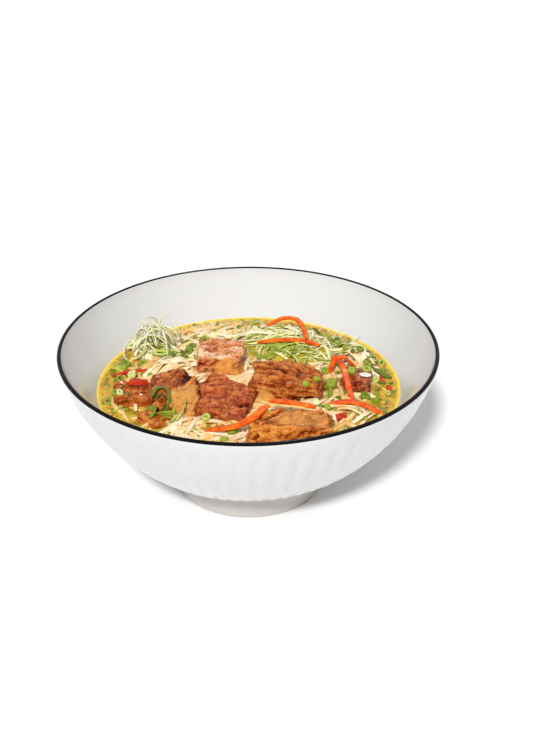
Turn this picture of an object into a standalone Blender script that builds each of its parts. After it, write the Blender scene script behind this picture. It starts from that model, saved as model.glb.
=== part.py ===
"""Braised beef noodle soup in a ribbed stoneware bowl, as closed solids.

The bowl stands on its foot at the origin, with +Z up and +X to the eater's right.
Everything is in metres. The bowl is turned, and its ribs are pressed into the outer wall.
The food lies in it in this order, and each piece is cut round the ones before it: the meat,
the heaps of shredded scallion, the bed of noodles and the broth. The strips of red pepper
come last, and lie on whatever is below them.
"""

import math

import bmesh
import bpy
from mathutils import Matrix, Vector, noise

MM = 0.001

# The bowl. Its wall is a zone of a sphere, and the foot and the lip are turned with it.
BOWL_RADIUS = 114 * MM
BOWL_HEIGHT = 94.5 * MM
WALL_SPHERE = 118 * MM
WALL = 8 * MM
LIP_RADIUS = 1.4 * MM
FOOT_TOP_RADIUS = 48 * MM
FOOT_BOTTOM_RADIUS = 45 * MM
FOOT_INNER_RADIUS = 38 * MM
FOOT_RECESS = 6.5 * MM
RIBS = 60
RIB_DEPTH = 0.6 * MM
RIBS_START = 18 * MM
RIBS_END = 86 * MM
RIB_FADE = 8 * MM

# The food.
BROTH_LEVEL = 66.5 * MM
CLEARANCE = 0.35 * MM
NOODLE_RADIUS = 80 * MM
NOODLE_RISE = 2.2 * MM
NOODLE_MARGIN = 8 * MM
NOODLE_HUMPS = (  # x, y, height and spread of the places where the noodles stand proud
    (-46 * MM, 14 * MM, 5.5 * MM, 12 * MM),
    (-34 * MM, -62 * MM, 2.5 * MM, 16 * MM),
    (-36 * MM, 62 * MM, 1.5 * MM, 14 * MM),
    (66 * MM, 26 * MM, 2.5 * MM, 12 * MM),
    (60 * MM, -44 * MM, 2.0 * MM, 14 * MM),
)

# name: (centre x, centre y, top z), (length, depth, height), turn in degrees,
# (slope of the top along the length, along the depth), roundness, seed
MEAT = {
    "shank_block": ((-17.5, 20, 84), (28, 24, 28), -5, (-0.06, 0.06), 0.20, 3.1),
    "brisket_block": ((-13.5, -31, 83.5), (30, 33, 28), -14, (-0.16, 0.30), 0.26, 7.7),
    "brisket_long": ((23.5, -10, 84), (47, 27, 28), -5, (-0.10, 0.12), 0.38, 12.4),
    "tendon_piece": ((24, -63, 81.5), (50, 23, 26), 3, (0.04, 0.14), 0.42, 26.4),
    "brisket_left": ((-43, -20.5, 80.5), (28, 33, 23), 8, (0.02, 0.22), 0.36, 33.2),
    "brisket_flat": ((-67, -18.5, 76), (26, 17, 17), 6, (-0.06, 0.14), 0.40, 41.5),
    "brisket_end": ((-55, -42, 70.5), (20, 15, 12), -30, (-0.06, 0.10), 0.40, 63.7),
    "brisket_small": ((66, -1.5, 76.5), (18, 15, 17), -20, (-0.10, 0.12), 0.40, 55.8),
}

# name: (centre x, centre y), (half length, half depth), (bottom z, top z), turn in degrees, seed
SCALLION_HEAPS = {
    "scallion_curls": ((-60, 42.5), (20, 14), (62, 88.5), 18, 5.3),
    "scallion_shreds": ((25, 44), (32, 22), (61, 77.5), -18, 9.6),
}

# name: route in plan, width, extra height of an arch at its middle
PEPPER_STRIPS = {
    "pepper_back": (((5, 38), (22, 37.5), (33, 35), (44, 31.5)), 3.6, 0),
    "pepper_arch": (((11, 60), (21, 63.5), (30, 58), (34, 46), (36, 33.5)), 3.4, 4.0),
    "pepper_right": (((53, 28), (56, 13), (58, -2), (62, -24)), 3.8, 0),
    "pepper_cross": (((49, 9), (56, 13.5), (66, 18)), 3.6, 0),
    "pepper_front_right": (((44, -32), (57, -29), (69, -32.5), (80, -39)), 3.8, 2.5),
    "pepper_front": (((-24, -59), (-9, -64), (3, -61.5), (12, -50.5)), 4.8, 0),
    "pepper_middle": (((12.5, -48), (26, -51), (39, -53)), 3.6, 0.8),
    "pepper_left": (((-83.5, 9), (-71, 13), (-57, 8)), 2.4, 0),
    "pepper_short": (((79, 11), (82.5, 1), (85.5, -8)), 2.6, 0),
}
STRIP_THICKNESS = 2.0 * MM
STRIP_SAMPLES = 9

# name: centre in plan, length, width, turn in degrees
PEPPER_WEDGES = {
    "pepper_wedge_left": ((-65.5, -14.5), 12.5, 6.5, -4),
    "pepper_wedge_front": ((54.5, -43), 9, 6, 35),
}
WEDGE_THICKNESS = 2.4 * MM

# colour, roughness
FINISHES = {
    "glaze": ((0.86, 0.85, 0.83), 0.12),
    "broth": ((0.72, 0.50, 0.10), 0.10),
    "noodle": ((0.88, 0.74, 0.48), 0.35),
    "meat": ((0.30, 0.09, 0.035), 0.35),
    "scallion": ((0.70, 0.80, 0.42), 0.40),
    "pepper": ((0.80, 0.10, 0.02), 0.25),
}

TURN_STEPS = 2 * RIBS
WALL_CENTRE_Z = BOWL_HEIGHT - LIP_RADIUS + math.sqrt(WALL_SPHERE**2 - BOWL_RADIUS**2)
RIM_ANGLE = math.asin(BOWL_RADIUS / WALL_SPHERE)
INNER_RIM_RADIUS = BOWL_RADIUS - 2 * LIP_RADIUS
INNER_RIM_SPHERE = math.hypot(INNER_RIM_RADIUS, WALL_CENTRE_Z - BOWL_HEIGHT + LIP_RADIUS)
INNER_RIM_ANGLE = math.asin(INNER_RIM_RADIUS / INNER_RIM_SPHERE)
INNER_SPHERE = WALL_SPHERE - WALL
BROTH_ANGLE = math.acos((WALL_CENTRE_Z - BROTH_LEVEL) / INNER_SPHERE)


def clear_scene():
    for obj in list(bpy.data.objects):
        bpy.data.objects.remove(obj, do_unlink=True)


def new_collection(name):
    collection = bpy.data.collections.new(name)
    bpy.context.scene.collection.children.link(collection)
    return collection


def make_finish(name):
    colour, roughness = FINISHES[name]
    material = bpy.data.materials.new(name)
    material.use_nodes = True
    shader = material.node_tree.nodes["Principled BSDF"]
    shader.inputs["Base Color"].default_value = (*colour, 1)
    shader.inputs["Roughness"].default_value = roughness
    shader.inputs["Metallic"].default_value = 0.0
    return material


def add_object(name, data, collection, material=None):
    obj = bpy.data.objects.new(name, data)
    collection.objects.link(obj)
    if material is not None:
        obj.data.materials.append(material)
    return obj


def mesh_from_bmesh(name, shape):
    mesh = bpy.data.meshes.new(name)
    shape.to_mesh(mesh)
    shape.free()
    return mesh


def shade_round(mesh):
    mesh.shade_smooth()
    mesh.set_sharp_from_angle(angle=math.radians(35))


def inner_sphere_radius(angle):
    """The inner wall's distance from the wall's centre: thinner from the broth up to the lip."""
    share = (angle - BROTH_ANGLE) / (INNER_RIM_ANGLE - BROTH_ANGLE)
    share = min(max(share, 0.0), 1.0)
    return INNER_SPHERE + share * (INNER_RIM_SPHERE - INNER_SPHERE)


def on_sphere(radius, angle):
    """A profile point at an angle from straight down, about the wall's centre."""
    return radius * math.sin(angle), WALL_CENTRE_Z - radius * math.cos(angle)


def spread(start, end, steps):
    return [start + (end - start) * i / steps for i in range(steps + 1)]


def inner_wall_angles():
    """Even steps under the broth and above it, so that a ring lies on the broth's edge."""
    return spread(0, BROTH_ANGLE, 5) + spread(BROTH_ANGLE, INNER_RIM_ANGLE, 3)[1:]


def bowl_profile():
    """From the middle of the floor, over the lip, and down to the middle of the underside."""
    inner = [on_sphere(inner_sphere_radius(a), a) for a in inner_wall_angles()]
    lip_centre = BOWL_RADIUS - LIP_RADIUS, BOWL_HEIGHT - LIP_RADIUS
    lip = [
        (lip_centre[0] + LIP_RADIUS * math.cos(a), lip_centre[1] + LIP_RADIUS * math.sin(a))
        for a in spread(math.pi, 0, 4)[1:-1]
    ]
    foot_angle = math.asin(FOOT_TOP_RADIUS / WALL_SPHERE)
    outer = [on_sphere(WALL_SPHERE, a) for a in spread(RIM_ANGLE, foot_angle, 6)]
    foot = [
        (FOOT_BOTTOM_RADIUS, 0.8 * MM),
        (FOOT_BOTTOM_RADIUS - 0.8 * MM, 0),
        (FOOT_INNER_RADIUS, 0),
        (FOOT_INNER_RADIUS - 1 * MM, FOOT_RECESS),
        (0, FOOT_RECESS),
    ]
    return inner + lip + outer + foot


def broth_profile():
    """From the middle of the surface, out to the wall, and down to the middle of the floor."""
    wall = [
        on_sphere(inner_sphere_radius(a) - CLEARANCE, a)
        for a in reversed(inner_wall_angles())
        if 0 < a <= BROTH_ANGLE + 1e-9
    ]
    edge_angle = math.acos((WALL_CENTRE_Z - BROTH_LEVEL) / (INNER_SPHERE - CLEARANCE))
    wall[0] = on_sphere(INNER_SPHERE - CLEARANCE, edge_angle)
    return [(0, BROTH_LEVEL)] + wall + [on_sphere(INNER_SPHERE - CLEARANCE, 0)]


def turned_mesh(name, profile, steps):
    """The mesh of a profile in the XZ plane turned about Z."""
    shape = bmesh.new()
    points = [shape.verts.new((x, 0, z)) for x, z in profile]
    for first, second in zip(points, points[1:]):
        shape.edges.new((first, second))
    guide = bpy.data.objects.new(name + "_profile", mesh_from_bmesh(name + "_profile", shape))
    bpy.context.scene.collection.objects.link(guide)
    screw = guide.modifiers.new("Turn", "SCREW")
    screw.steps = screw.render_steps = steps
    screw.use_merge_vertices = True
    screw.merge_threshold = 0.01 * MM
    graph = bpy.context.evaluated_depsgraph_get()
    mesh = bpy.data.meshes.new_from_object(guide.evaluated_get(graph))
    mesh.name = name
    bpy.data.objects.remove(guide, do_unlink=True)
    return mesh


def column_of(point, steps):
    """Which of the turned columns a point is in."""
    return round(math.atan2(point.y, point.x) / (2 * math.pi) * steps) % steps


def rib_share(height):
    """How much of the ribs' depth there is at a height: they fade out under the rim."""
    if not RIBS_START < height < RIBS_END:
        return 0.0
    return min(1.0, (RIBS_END - height) / RIB_FADE, (height - RIBS_START) / (RIB_FADE / 4))


def on_outer_wall(point):
    radius = math.hypot(point.x, point.y)
    from_centre = math.hypot(radius, WALL_CENTRE_Z - point.z)
    return abs(from_centre - WALL_SPHERE) < 0.1 * MM


def make_bowl(collection, material):
    shape = bmesh.new()
    shape.from_mesh(turned_mesh("bowl", bowl_profile(), TURN_STEPS))
    smooth_edges = [
        edge
        for edge in shape.edges
        if all(column_of(v.co, TURN_STEPS) % 2 for v in edge.verts)
        and edge.verts[0].co.xy.length > 1e-6 < edge.verts[1].co.xy.length
        and not all(on_outer_wall(v.co) for v in edge.verts)
    ]
    for vert in shape.verts:
        if on_outer_wall(vert.co) and column_of(vert.co, TURN_STEPS) % 2:
            inwards = Vector((-vert.co.x, -vert.co.y, 0)).normalized()
            vert.co += inwards * RIB_DEPTH * rib_share(vert.co.z)
    bmesh.ops.dissolve_edges(shape, edges=smooth_edges, use_verts=True)
    bmesh.ops.triangulate(shape, faces=[f for f in shape.faces if len(f.verts) > 4])
    mesh = mesh_from_bmesh("bowl", shape)
    shade_round(mesh)
    return add_object("bowl", mesh, collection, material)


def make_broth(collection, material):
    mesh = turned_mesh("broth", broth_profile(), RIBS)
    shade_round(mesh)
    return add_object("broth", mesh, collection, material)


def noodle_outline(angle):
    """The bed's uneven radius."""
    return NOODLE_RADIUS * (1 + 0.025 * math.cos(3 * angle + 1) + 0.015 * math.sin(5 * angle))


def noodle_top(x, y, share):
    """The height of the bed's top, at a share of the way out to its edge."""
    rise = NOODLE_RISE * (1 - share**4)
    for hump_x, hump_y, height, width in NOODLE_HUMPS:
        distance = math.hypot(x - hump_x, y - hump_y)
        rise += height * math.exp(-((distance / width) ** 2))
    lumps = noise.noise(Vector((x, y, 0)) * 90) * 1.2 * MM * (1 - share**4)
    return BROTH_LEVEL - 1.5 * MM * share**8 + rise + lumps


def make_noodle_bed(collection, material):
    """A lens of noodles, whose underside follows the bowl's."""
    shape = bmesh.new()
    bmesh.ops.create_uvsphere(shape, u_segments=30, v_segments=8, radius=1)
    for vert in shape.verts:
        share = min(1.0, vert.co.xy.length)
        angle = math.atan2(vert.co.y, vert.co.x)
        radius = noodle_outline(angle) * share
        x, y = radius * math.cos(angle), radius * math.sin(angle)
        underside = WALL_CENTRE_Z - math.sqrt((INNER_SPHERE - NOODLE_MARGIN) ** 2 - radius**2)
        upper = vert.co.z > -1e-6
        vert.co = (x, y, noodle_top(x, y, share) if upper else underside)
    bmesh.ops.triangulate(shape, faces=shape.faces)
    mesh = mesh_from_bmesh("noodle_bed", shape)
    shade_round(mesh)
    return add_object("noodle_bed", mesh, collection, material)


def unevenness(place, seed):
    """A smoothly varying vector: one noise field for each direction."""
    return Vector([noise.noise(place + Vector((seed, 7.3 * k, 0))) for k in range(3)])


def make_meat(name, collection, material):
    """A hand-cut cube of meat: a rounded block with an uneven, sloping top."""
    centre, size, turn, slope, roundness, seed = MEAT[name]
    shape = bmesh.new()
    bmesh.ops.create_cube(shape, size=1)
    bmesh.ops.subdivide_edges(shape, edges=shape.edges, cuts=3, use_grid_fill=True)
    for vert in shape.verts:
        spot = vert.co * (1 + roundness * (0.25 - vert.co.length_squared))
        for frequency, amount in ((1.9, 0.13), (4.7, 0.05)):
            spot += unevenness(vert.co * frequency, seed) * amount
        top_share = max(0.0, vert.co.z + 0.5)
        spot.z += (slope[0] * vert.co.x + slope[1] * vert.co.y) * top_share
        vert.co = Vector((spot.x * size[0], spot.y * size[1], spot.z * size[2])) * MM
    bmesh.ops.triangulate(shape, faces=shape.faces)
    highest = max(vert.co.z for vert in shape.verts)
    bmesh.ops.translate(shape, verts=shape.verts, vec=(0, 0, -highest))
    mesh = mesh_from_bmesh(name, shape)
    shade_round(mesh)
    obj = add_object(name, mesh, collection, material)
    obj.location = Vector(centre) * MM
    obj.rotation_euler.z = math.radians(turn)
    return obj


def make_scallion_heap(name, collection, material):
    """A loose heap: a dome with an uneven outline and top."""
    centre, half_size, (bottom, top), turn, seed = SCALLION_HEAPS[name]
    shape = bmesh.new()
    bmesh.ops.create_uvsphere(shape, u_segments=18, v_segments=8, radius=1)
    for vert in shape.verts:
        lump = noise.noise(vert.co * 1.7 + Vector((seed, seed, 0)))
        wider = 1 + 0.16 * lump
        height = (vert.co.z + 1) / 2 * (1 + 0.12 * lump * max(0.0, vert.co.z))
        x, y = vert.co.x * half_size[0] * wider, vert.co.y * half_size[1] * wider
        vert.co = Vector((x, y, (top - bottom) * height)) * MM
    bmesh.ops.triangulate(shape, faces=shape.faces)
    mesh = mesh_from_bmesh(name, shape)
    shade_round(mesh)
    obj = add_object(name, mesh, collection, material)
    obj.location = Vector((*centre, bottom)) * MM
    obj.rotation_euler.z = math.radians(turn)
    return obj


def surface_height(x, y):
    """The height of the highest surface at a place in plan."""
    graph = bpy.context.evaluated_depsgraph_get()
    above = Vector((x, y, 2 * BOWL_HEIGHT))
    hit, place = bpy.context.scene.ray_cast(graph, above, Vector((0, 0, -1)))[:2]
    return place.z if hit else 0.0


def smooth_route(points, samples):
    """Points on a Catmull-Rom curve through a few points in plan, and its direction there."""
    knots = [Vector(p) * MM for p in points]
    knots = [2 * knots[0] - knots[1]] + knots + [2 * knots[-1] - knots[-2]]
    spans = len(points) - 1
    route = []
    for i in range(samples):
        at = spans * i / (samples - 1)
        span = min(int(at), spans - 1)
        t = at - span
        a, b, c, d = knots[span : span + 4]
        place = 0.5 * (2 * b + (c - a) * t + (2 * a - 5 * b + 4 * c - d) * t**2
                       + (3 * b - a - 3 * c + d) * t**3)
        along = 0.5 * ((c - a) + 2 * (2 * a - 5 * b + 4 * c - d) * t
                       + 3 * (3 * b - a - 3 * c + d) * t**2)
        route.append((place, along.normalized()))
    return route


def resting_heights(route, half_width, half_thickness):
    """The height of a strip's middle line: clear of all below it, and stiff, so that it bridges gaps."""
    heights = []
    for place, along in route:
        across = Vector((-along.y, along.x))
        reach = half_width + 0.8 * MM
        spots = [
            place + across * reach * side + along * reach * end
            for side in (-1, -0.5, 0, 0.5, 1)
            for end in (-1, 0, 1)
        ]
        heights.append(max(surface_height(*spot) for spot in spots) + half_thickness + CLEARANCE)
    for _ in range(40):
        for i in range(1, len(heights) - 1):
            heights[i] = max(heights[i], (heights[i - 1] + heights[i + 1]) / 2 - 0.03 * MM)
    return heights


def strip_section(width):
    """The strip's rounded cross-section, as a flat closed curve."""
    section = bpy.data.curves.new("strip_section", "CURVE")
    section.dimensions = "2D"
    section.fill_mode = "NONE"
    outline = section.splines.new("POLY")
    half_w, half_t = width / 2, STRIP_THICKNESS / 2
    corner = 0.45 * half_t
    corners = []
    for x, y in ((half_w, half_t), (-half_w, half_t), (-half_w, -half_t), (half_w, -half_t)):
        short = math.copysign(corner, x), math.copysign(corner, y)
        pair = [(x, y - short[1]), (x - short[0], y)]
        corners += pair if x * y > 0 else reversed(pair)
    outline.points.add(len(corners) - 1)
    for point, (x, y) in zip(outline.points, corners):
        point.co = (x, y, 0, 1)
    outline.use_cyclic_u = True
    obj = bpy.data.objects.new("strip_section", section)
    bpy.context.scene.collection.objects.link(obj)
    return obj


def make_strip(name, collection, material):
    """A pepper strip that lies on what is below it, with its narrowing ends."""
    points, width, lift = PEPPER_STRIPS[name]
    width *= MM
    route = smooth_route(points, STRIP_SAMPLES)
    heights = resting_heights(route, width / 2, STRIP_THICKNESS / 2)
    section = strip_section(width)
    curve = bpy.data.curves.new(name, "CURVE")
    curve.dimensions = "3D"
    curve.twist_mode = "Z_UP"
    curve.bevel_mode = "OBJECT"
    curve.bevel_object = section
    curve.use_fill_caps = True
    line = curve.splines.new("POLY")
    line.points.add(STRIP_SAMPLES - 1)
    for i, ((place, _), height) in enumerate(zip(route, heights)):
        share = i / (STRIP_SAMPLES - 1)
        arch = lift * MM * math.sin(math.pi * share)
        line.points[i].co = (place.x, place.y, height + arch, 1)
        line.points[i].radius = 1 - 0.35 * abs(2 * share - 1) ** 6
    guide = bpy.data.objects.new(name + "_line", curve)
    bpy.context.scene.collection.objects.link(guide)
    obj = meshed(name, guide, collection, material)
    bpy.data.objects.remove(section, do_unlink=True)
    return obj


def meshed(name, guide, collection, material):
    """The mesh object of a curve object, with its caps welded on. The curve object is removed."""
    graph = bpy.context.evaluated_depsgraph_get()
    made = bpy.data.meshes.new_from_object(guide.evaluated_get(graph))
    shape = bmesh.new()
    shape.from_mesh(made)
    bmesh.ops.remove_doubles(shape, verts=shape.verts, dist=0.01 * MM)
    bmesh.ops.recalc_face_normals(shape, faces=shape.faces)
    mesh = mesh_from_bmesh(name, shape)
    shade_round(mesh)
    obj = add_object(name, mesh, collection, material)
    obj.matrix_world = guide.matrix_world
    bpy.data.objects.remove(guide, do_unlink=True)
    bpy.context.view_layer.update()
    return obj


def make_wedge(name, collection, material):
    """A flat cut corner of pepper, with three unequal sides."""
    centre, length, width, turn = PEPPER_WEDGES[name]
    outline = [(-0.5, -0.35), (0.5, -0.15), (0.42, 0.3), (-0.3, 0.5)]
    flat = bpy.data.curves.new(name, "CURVE")
    flat.dimensions = "2D"
    flat.fill_mode = "BOTH"
    flat.extrude = WEDGE_THICKNESS / 2
    edge = flat.splines.new("POLY")
    edge.points.add(len(outline) - 1)
    for point, (x, y) in zip(edge.points, outline):
        point.co = (x * length * MM, y * width * MM, 0, 1)
    edge.use_cyclic_u = True
    guide = bpy.data.objects.new(name + "_flat", flat)
    bpy.context.scene.collection.objects.link(guide)
    place = Vector(centre) * MM
    reach = (length + width) / 4 * MM
    spots = [place + Vector((math.cos(a), math.sin(a))) * reach * share
             for a in spread(0, 2 * math.pi, 12) for share in (0, 0.5, 1, 1.3)]
    height = max(surface_height(*spot) for spot in spots) + WEDGE_THICKNESS / 2 + CLEARANCE
    guide.matrix_world = Matrix.Translation((*place, height)) @ Matrix.Rotation(
        math.radians(turn), 4, "Z"
    )
    bpy.context.view_layer.update()
    return meshed(name, guide, collection, material)


def outward_at(vert):
    """The direction away from the faces round a vertex, each counted by its area.

    It is rounded, because the order in which the faces are added up may vary.
    """
    total = Vector()
    for face in vert.link_faces:
        total += face.normal * face.calc_area()
    return Vector([round(part, 3) for part in total.normalized()])


def make_cutter(obj, collection):
    """A hidden copy of a piece, larger by the clearance, that cuts its neighbours."""
    graph = bpy.context.evaluated_depsgraph_get()
    shape = bmesh.new()
    shape.from_mesh(bpy.data.meshes.new_from_object(obj.evaluated_get(graph)))
    outwards = [outward_at(vert) for vert in shape.verts]
    for vert, outward in zip(shape.verts, outwards):
        vert.co += outward * CLEARANCE
    name = obj.name + "_cutter"
    cutter = add_object(name, mesh_from_bmesh(name, shape), collection)
    cutter.matrix_world = obj.matrix_world
    cutter.hide_render = True
    cutter.display_type = "WIRE"
    return cutter


def cut_round(obj, cutters):
    """Cuts each of the cutters from a piece."""
    for cutter in cutters:
        cut = obj.modifiers.new("Cut " + cutter.name, "BOOLEAN")
        cut.operation = "DIFFERENCE"
        cut.solver = "EXACT"
        cut.object = cutter


def boxes_meet(first, second):
    """Whether two objects' boxes in world space overlap."""
    def world_box(obj):
        corners = [obj.matrix_world @ Vector(corner) for corner in obj.bound_box]
        return [(min(c[k] for c in corners), max(c[k] for c in corners)) for k in range(3)]

    sides = zip(world_box(first), world_box(second))
    return all(a[0] < b[1] and b[0] < a[1] for a, b in sides)


def main():
    clear_scene()
    parts = new_collection("beef_noodle_soup")
    helpers = new_collection("cutters")
    finish = {name: make_finish(name) for name in FINISHES}
    make_bowl(parts, finish["glaze"])
    meat = [make_meat(name, parts, finish["meat"]) for name in MEAT]
    heaps = [make_scallion_heap(name, parts, finish["scallion"]) for name in SCALLION_HEAPS]
    noodles = make_noodle_bed(parts, finish["noodle"])
    broth = make_broth(parts, finish["broth"])
    bpy.context.view_layer.update()
    for name in PEPPER_WEDGES:
        make_wedge(name, parts, finish["pepper"])
    for name in PEPPER_STRIPS:
        make_strip(name, parts, finish["pepper"])
    layers = meat + heaps + [noodles, broth]
    cutters = {obj.name: make_cutter(obj, helpers) for obj in layers[:-1]}
    for i, obj in enumerate(layers):
        earlier = [other for other in layers[:i] if boxes_meet(obj, other)]
        cut_round(obj, [cutters[other.name] for other in earlier])


main()
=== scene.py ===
"""The looks of a bowl of braised beef noodle soup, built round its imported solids."""

import logging
import math
import random
from dataclasses import dataclass
from enum import Enum
from typing import Optional, Sequence, Union

import bmesh
import bpy
from mathutils import Matrix, Vector, noise
from mathutils.bvhtree import BVHTree


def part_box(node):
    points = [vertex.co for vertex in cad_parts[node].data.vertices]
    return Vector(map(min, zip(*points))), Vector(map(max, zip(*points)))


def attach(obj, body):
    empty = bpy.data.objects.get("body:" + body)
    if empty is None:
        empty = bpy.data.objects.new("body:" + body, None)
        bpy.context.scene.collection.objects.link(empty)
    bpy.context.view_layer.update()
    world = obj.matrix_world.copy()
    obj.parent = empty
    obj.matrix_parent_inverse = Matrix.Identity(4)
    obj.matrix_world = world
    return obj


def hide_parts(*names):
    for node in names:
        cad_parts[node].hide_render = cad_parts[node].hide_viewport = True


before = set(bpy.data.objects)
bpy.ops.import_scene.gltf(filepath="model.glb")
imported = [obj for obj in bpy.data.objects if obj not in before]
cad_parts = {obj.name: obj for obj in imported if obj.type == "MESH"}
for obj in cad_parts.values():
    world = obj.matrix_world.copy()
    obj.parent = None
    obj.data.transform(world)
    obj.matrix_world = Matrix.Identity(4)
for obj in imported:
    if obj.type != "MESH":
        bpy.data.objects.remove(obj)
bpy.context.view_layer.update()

MM = 0.001
LOG = logging.getLogger("soup")

Colour = tuple[float, float, float]
Point = tuple[float, float]


class Slot(Enum):
    """The record's material slots."""

    GLAZE = "glaze"
    BROTH = "broth"
    NOODLE = "noodle"
    MEAT = "meat"
    SCALLION = "scallion"
    PEPPER = "pepper"


# ---------------------------------------------------------------- shader helpers


class Signal:
    """A number socket in a node tree. Arithmetic on it adds Math nodes."""

    def __init__(self, paint: "Paint", socket: bpy.types.NodeSocket) -> None:
        """Wraps a socket of a material's tree."""
        self.paint = paint
        self.socket = socket

    def _math(self, operation: str, *values: Union["Signal", float]) -> "Signal":
        """Adds one Math node.

        Args:
            operation: The node's operation.
            values: Its inputs, in order.

        Returns:
            The node's output.
        """
        inputs = dict(enumerate(values))
        return self.paint.node("ShaderNodeMath", {"operation": operation}, inputs)

    def __add__(self, other: Union["Signal", float]) -> "Signal":
        """self + other."""
        return self._math("ADD", self, other)

    __radd__ = __add__

    def __sub__(self, other: Union["Signal", float]) -> "Signal":
        """self - other."""
        return self._math("SUBTRACT", self, other)

    def __rsub__(self, other: float) -> "Signal":
        """other - self."""
        return self._math("SUBTRACT", other, self)

    def __mul__(self, other: Union["Signal", float]) -> "Signal":
        """self * other."""
        return self._math("MULTIPLY", self, other)

    __rmul__ = __mul__

    def __pow__(self, other: float) -> "Signal":
        """self ** other."""
        return self._math("POWER", self, other)

    def clamped(self) -> "Signal":
        """The value, kept from 0 to 1."""
        return self._math("MINIMUM", self._math("MAXIMUM", self, 0.0), 1.0)

    def band(self, low: float, high: float) -> "Signal":
        """0 below low, 1 above high, and a straight rise between them."""
        return ((self - low) * (1 / (high - low))).clamped()


class Paint:
    """A material under construction."""

    def __init__(self, name: str, roughness: float, coat: float = 0.0, **sockets: float) -> None:
        """Starts a Principled material.

        Args:
            name: The material's name.
            roughness: The surface's roughness.
            coat: The weight of a wet coat.
            sockets: Other constants, with underscores for the spaces in their names.
        """
        self.material = bpy.data.materials.new(name)
        self.material.use_nodes = True
        self.tree = self.material.node_tree
        self.shader = self.tree.nodes["Principled BSDF"]
        self.shader.inputs["Roughness"].default_value = roughness
        self.shader.inputs["Coat Weight"].default_value = coat
        self.shader.inputs["Coat Roughness"].default_value = 0.12
        for key, value in sockets.items():
            self.shader.inputs[key.replace("_", " ")].default_value = value

    def node(
        self,
        kind: str,
        settings: Optional[dict[str, object]] = None,
        inputs: Optional[dict[Union[int, str], object]] = None,
        output: Union[int, str] = 0,
    ) -> Signal:
        """Adds a node.

        Args:
            kind: Its type.
            settings: Its properties, and a ramp's "stops", which are set first.
            inputs: Values or signals for its sockets.
            output: Which output is wanted.

        Returns:
            That output.
        """
        made = self.tree.nodes.new(kind)
        for key, value in (settings or {}).items():
            if key == "stops":
                self._set_stops(made.color_ramp, value)
            else:
                setattr(made, key, value)
        for key, value in (inputs or {}).items():
            self.feed(made.inputs[key], value)
        return Signal(self, made.outputs[output])

    @staticmethod
    def _set_stops(ramp: bpy.types.ColorRamp, stops: Sequence[tuple[float, Colour]]) -> None:
        """Puts the stops on a colour ramp."""
        while len(ramp.elements) < len(stops):
            ramp.elements.new(0.5)
        for element, (place, colour) in zip(ramp.elements, stops):
            element.position = place
            element.color = (*colour, 1.0)

    def feed(self, socket: bpy.types.NodeSocket, value: object) -> None:
        """Links a signal to a socket, or sets the socket's own value."""
        if isinstance(value, Signal):
            self.tree.links.new(value.socket, socket)
        elif isinstance(value, tuple) and socket.type == "RGBA":
            socket.default_value = (*value, 1.0)
        else:
            socket.default_value = value

    def object_place(self, scale: Sequence[float] = (1, 1, 1), turn: float = 0.0) -> Signal:
        """Object coordinates, stretched and turned about Z."""
        place = self.node("ShaderNodeTexCoord", output="Object")
        inputs = {"Vector": place, "Scale": tuple(scale), "Rotation": (0.0, 0.0, turn)}
        return self.node("ShaderNodeMapping", {}, inputs)

    def grain(
        self,
        size_mm: float,
        detail: float = 3.0,
        rough: float = 0.55,
        stretch: Sequence[float] = (1, 1, 1),
        turn: float = 0.0,
    ) -> Signal:
        """Smooth noise on the object, whose patches are about size_mm across."""
        inputs = {
            "Vector": self.object_place(stretch, turn),
            "Scale": 1.0 / (size_mm * MM),
            "Detail": detail,
            "Roughness": rough,
        }
        return self.node("ShaderNodeTexNoise", {}, inputs)

    def tint(self, channel: int) -> Signal:
        """A channel of the mesh's tint attribute."""
        colour = self.node("ShaderNodeAttribute", {"attribute_name": "tint"}, output="Color")
        return self.node("ShaderNodeSeparateColor", {}, {0: colour}, channel)

    def ramp(self, value: Signal, stops: Sequence[tuple[float, Colour]]) -> Signal:
        """Colours along a value."""
        return self.node("ShaderNodeValToRGB", {"stops": stops}, {"Fac": value})

    def mix(self, share: Signal, first: object, second: object) -> Signal:
        """A mixture of two colours."""
        settings = {"data_type": "RGBA"}
        return self.node("ShaderNodeMix", settings, {0: share, 6: first, 7: second}, 2)

    def bump(self, height: Signal, depth_mm: float, strength: float = 1.0) -> None:
        """Fine relief on the surface."""
        inputs = {"Height": height, "Distance": depth_mm * MM, "Strength": strength}
        self.feed(self.shader.inputs["Normal"], self.node("ShaderNodeBump", {}, inputs))

    def colour(self, value: object) -> None:
        """Sets the base colour."""
        self.feed(self.shader.inputs["Base Color"], value)


# ---------------------------------------------------------------- finishes


@dataclass(frozen=True)
class PlainFinish:
    """A finish of one colour."""

    name: str
    colour: Colour
    roughness: float
    coat: float = 0.0
    shine: float = 0.5
    light: float = 0.0

    def make(self) -> bpy.types.Material:
        """Builds the material."""
        paint = Paint(self.name, self.roughness, self.coat, Specular_IOR_Level=self.shine)
        paint.shader.inputs["Emission Strength"].default_value = self.light
        paint.colour(self.colour)
        return paint.material


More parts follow.
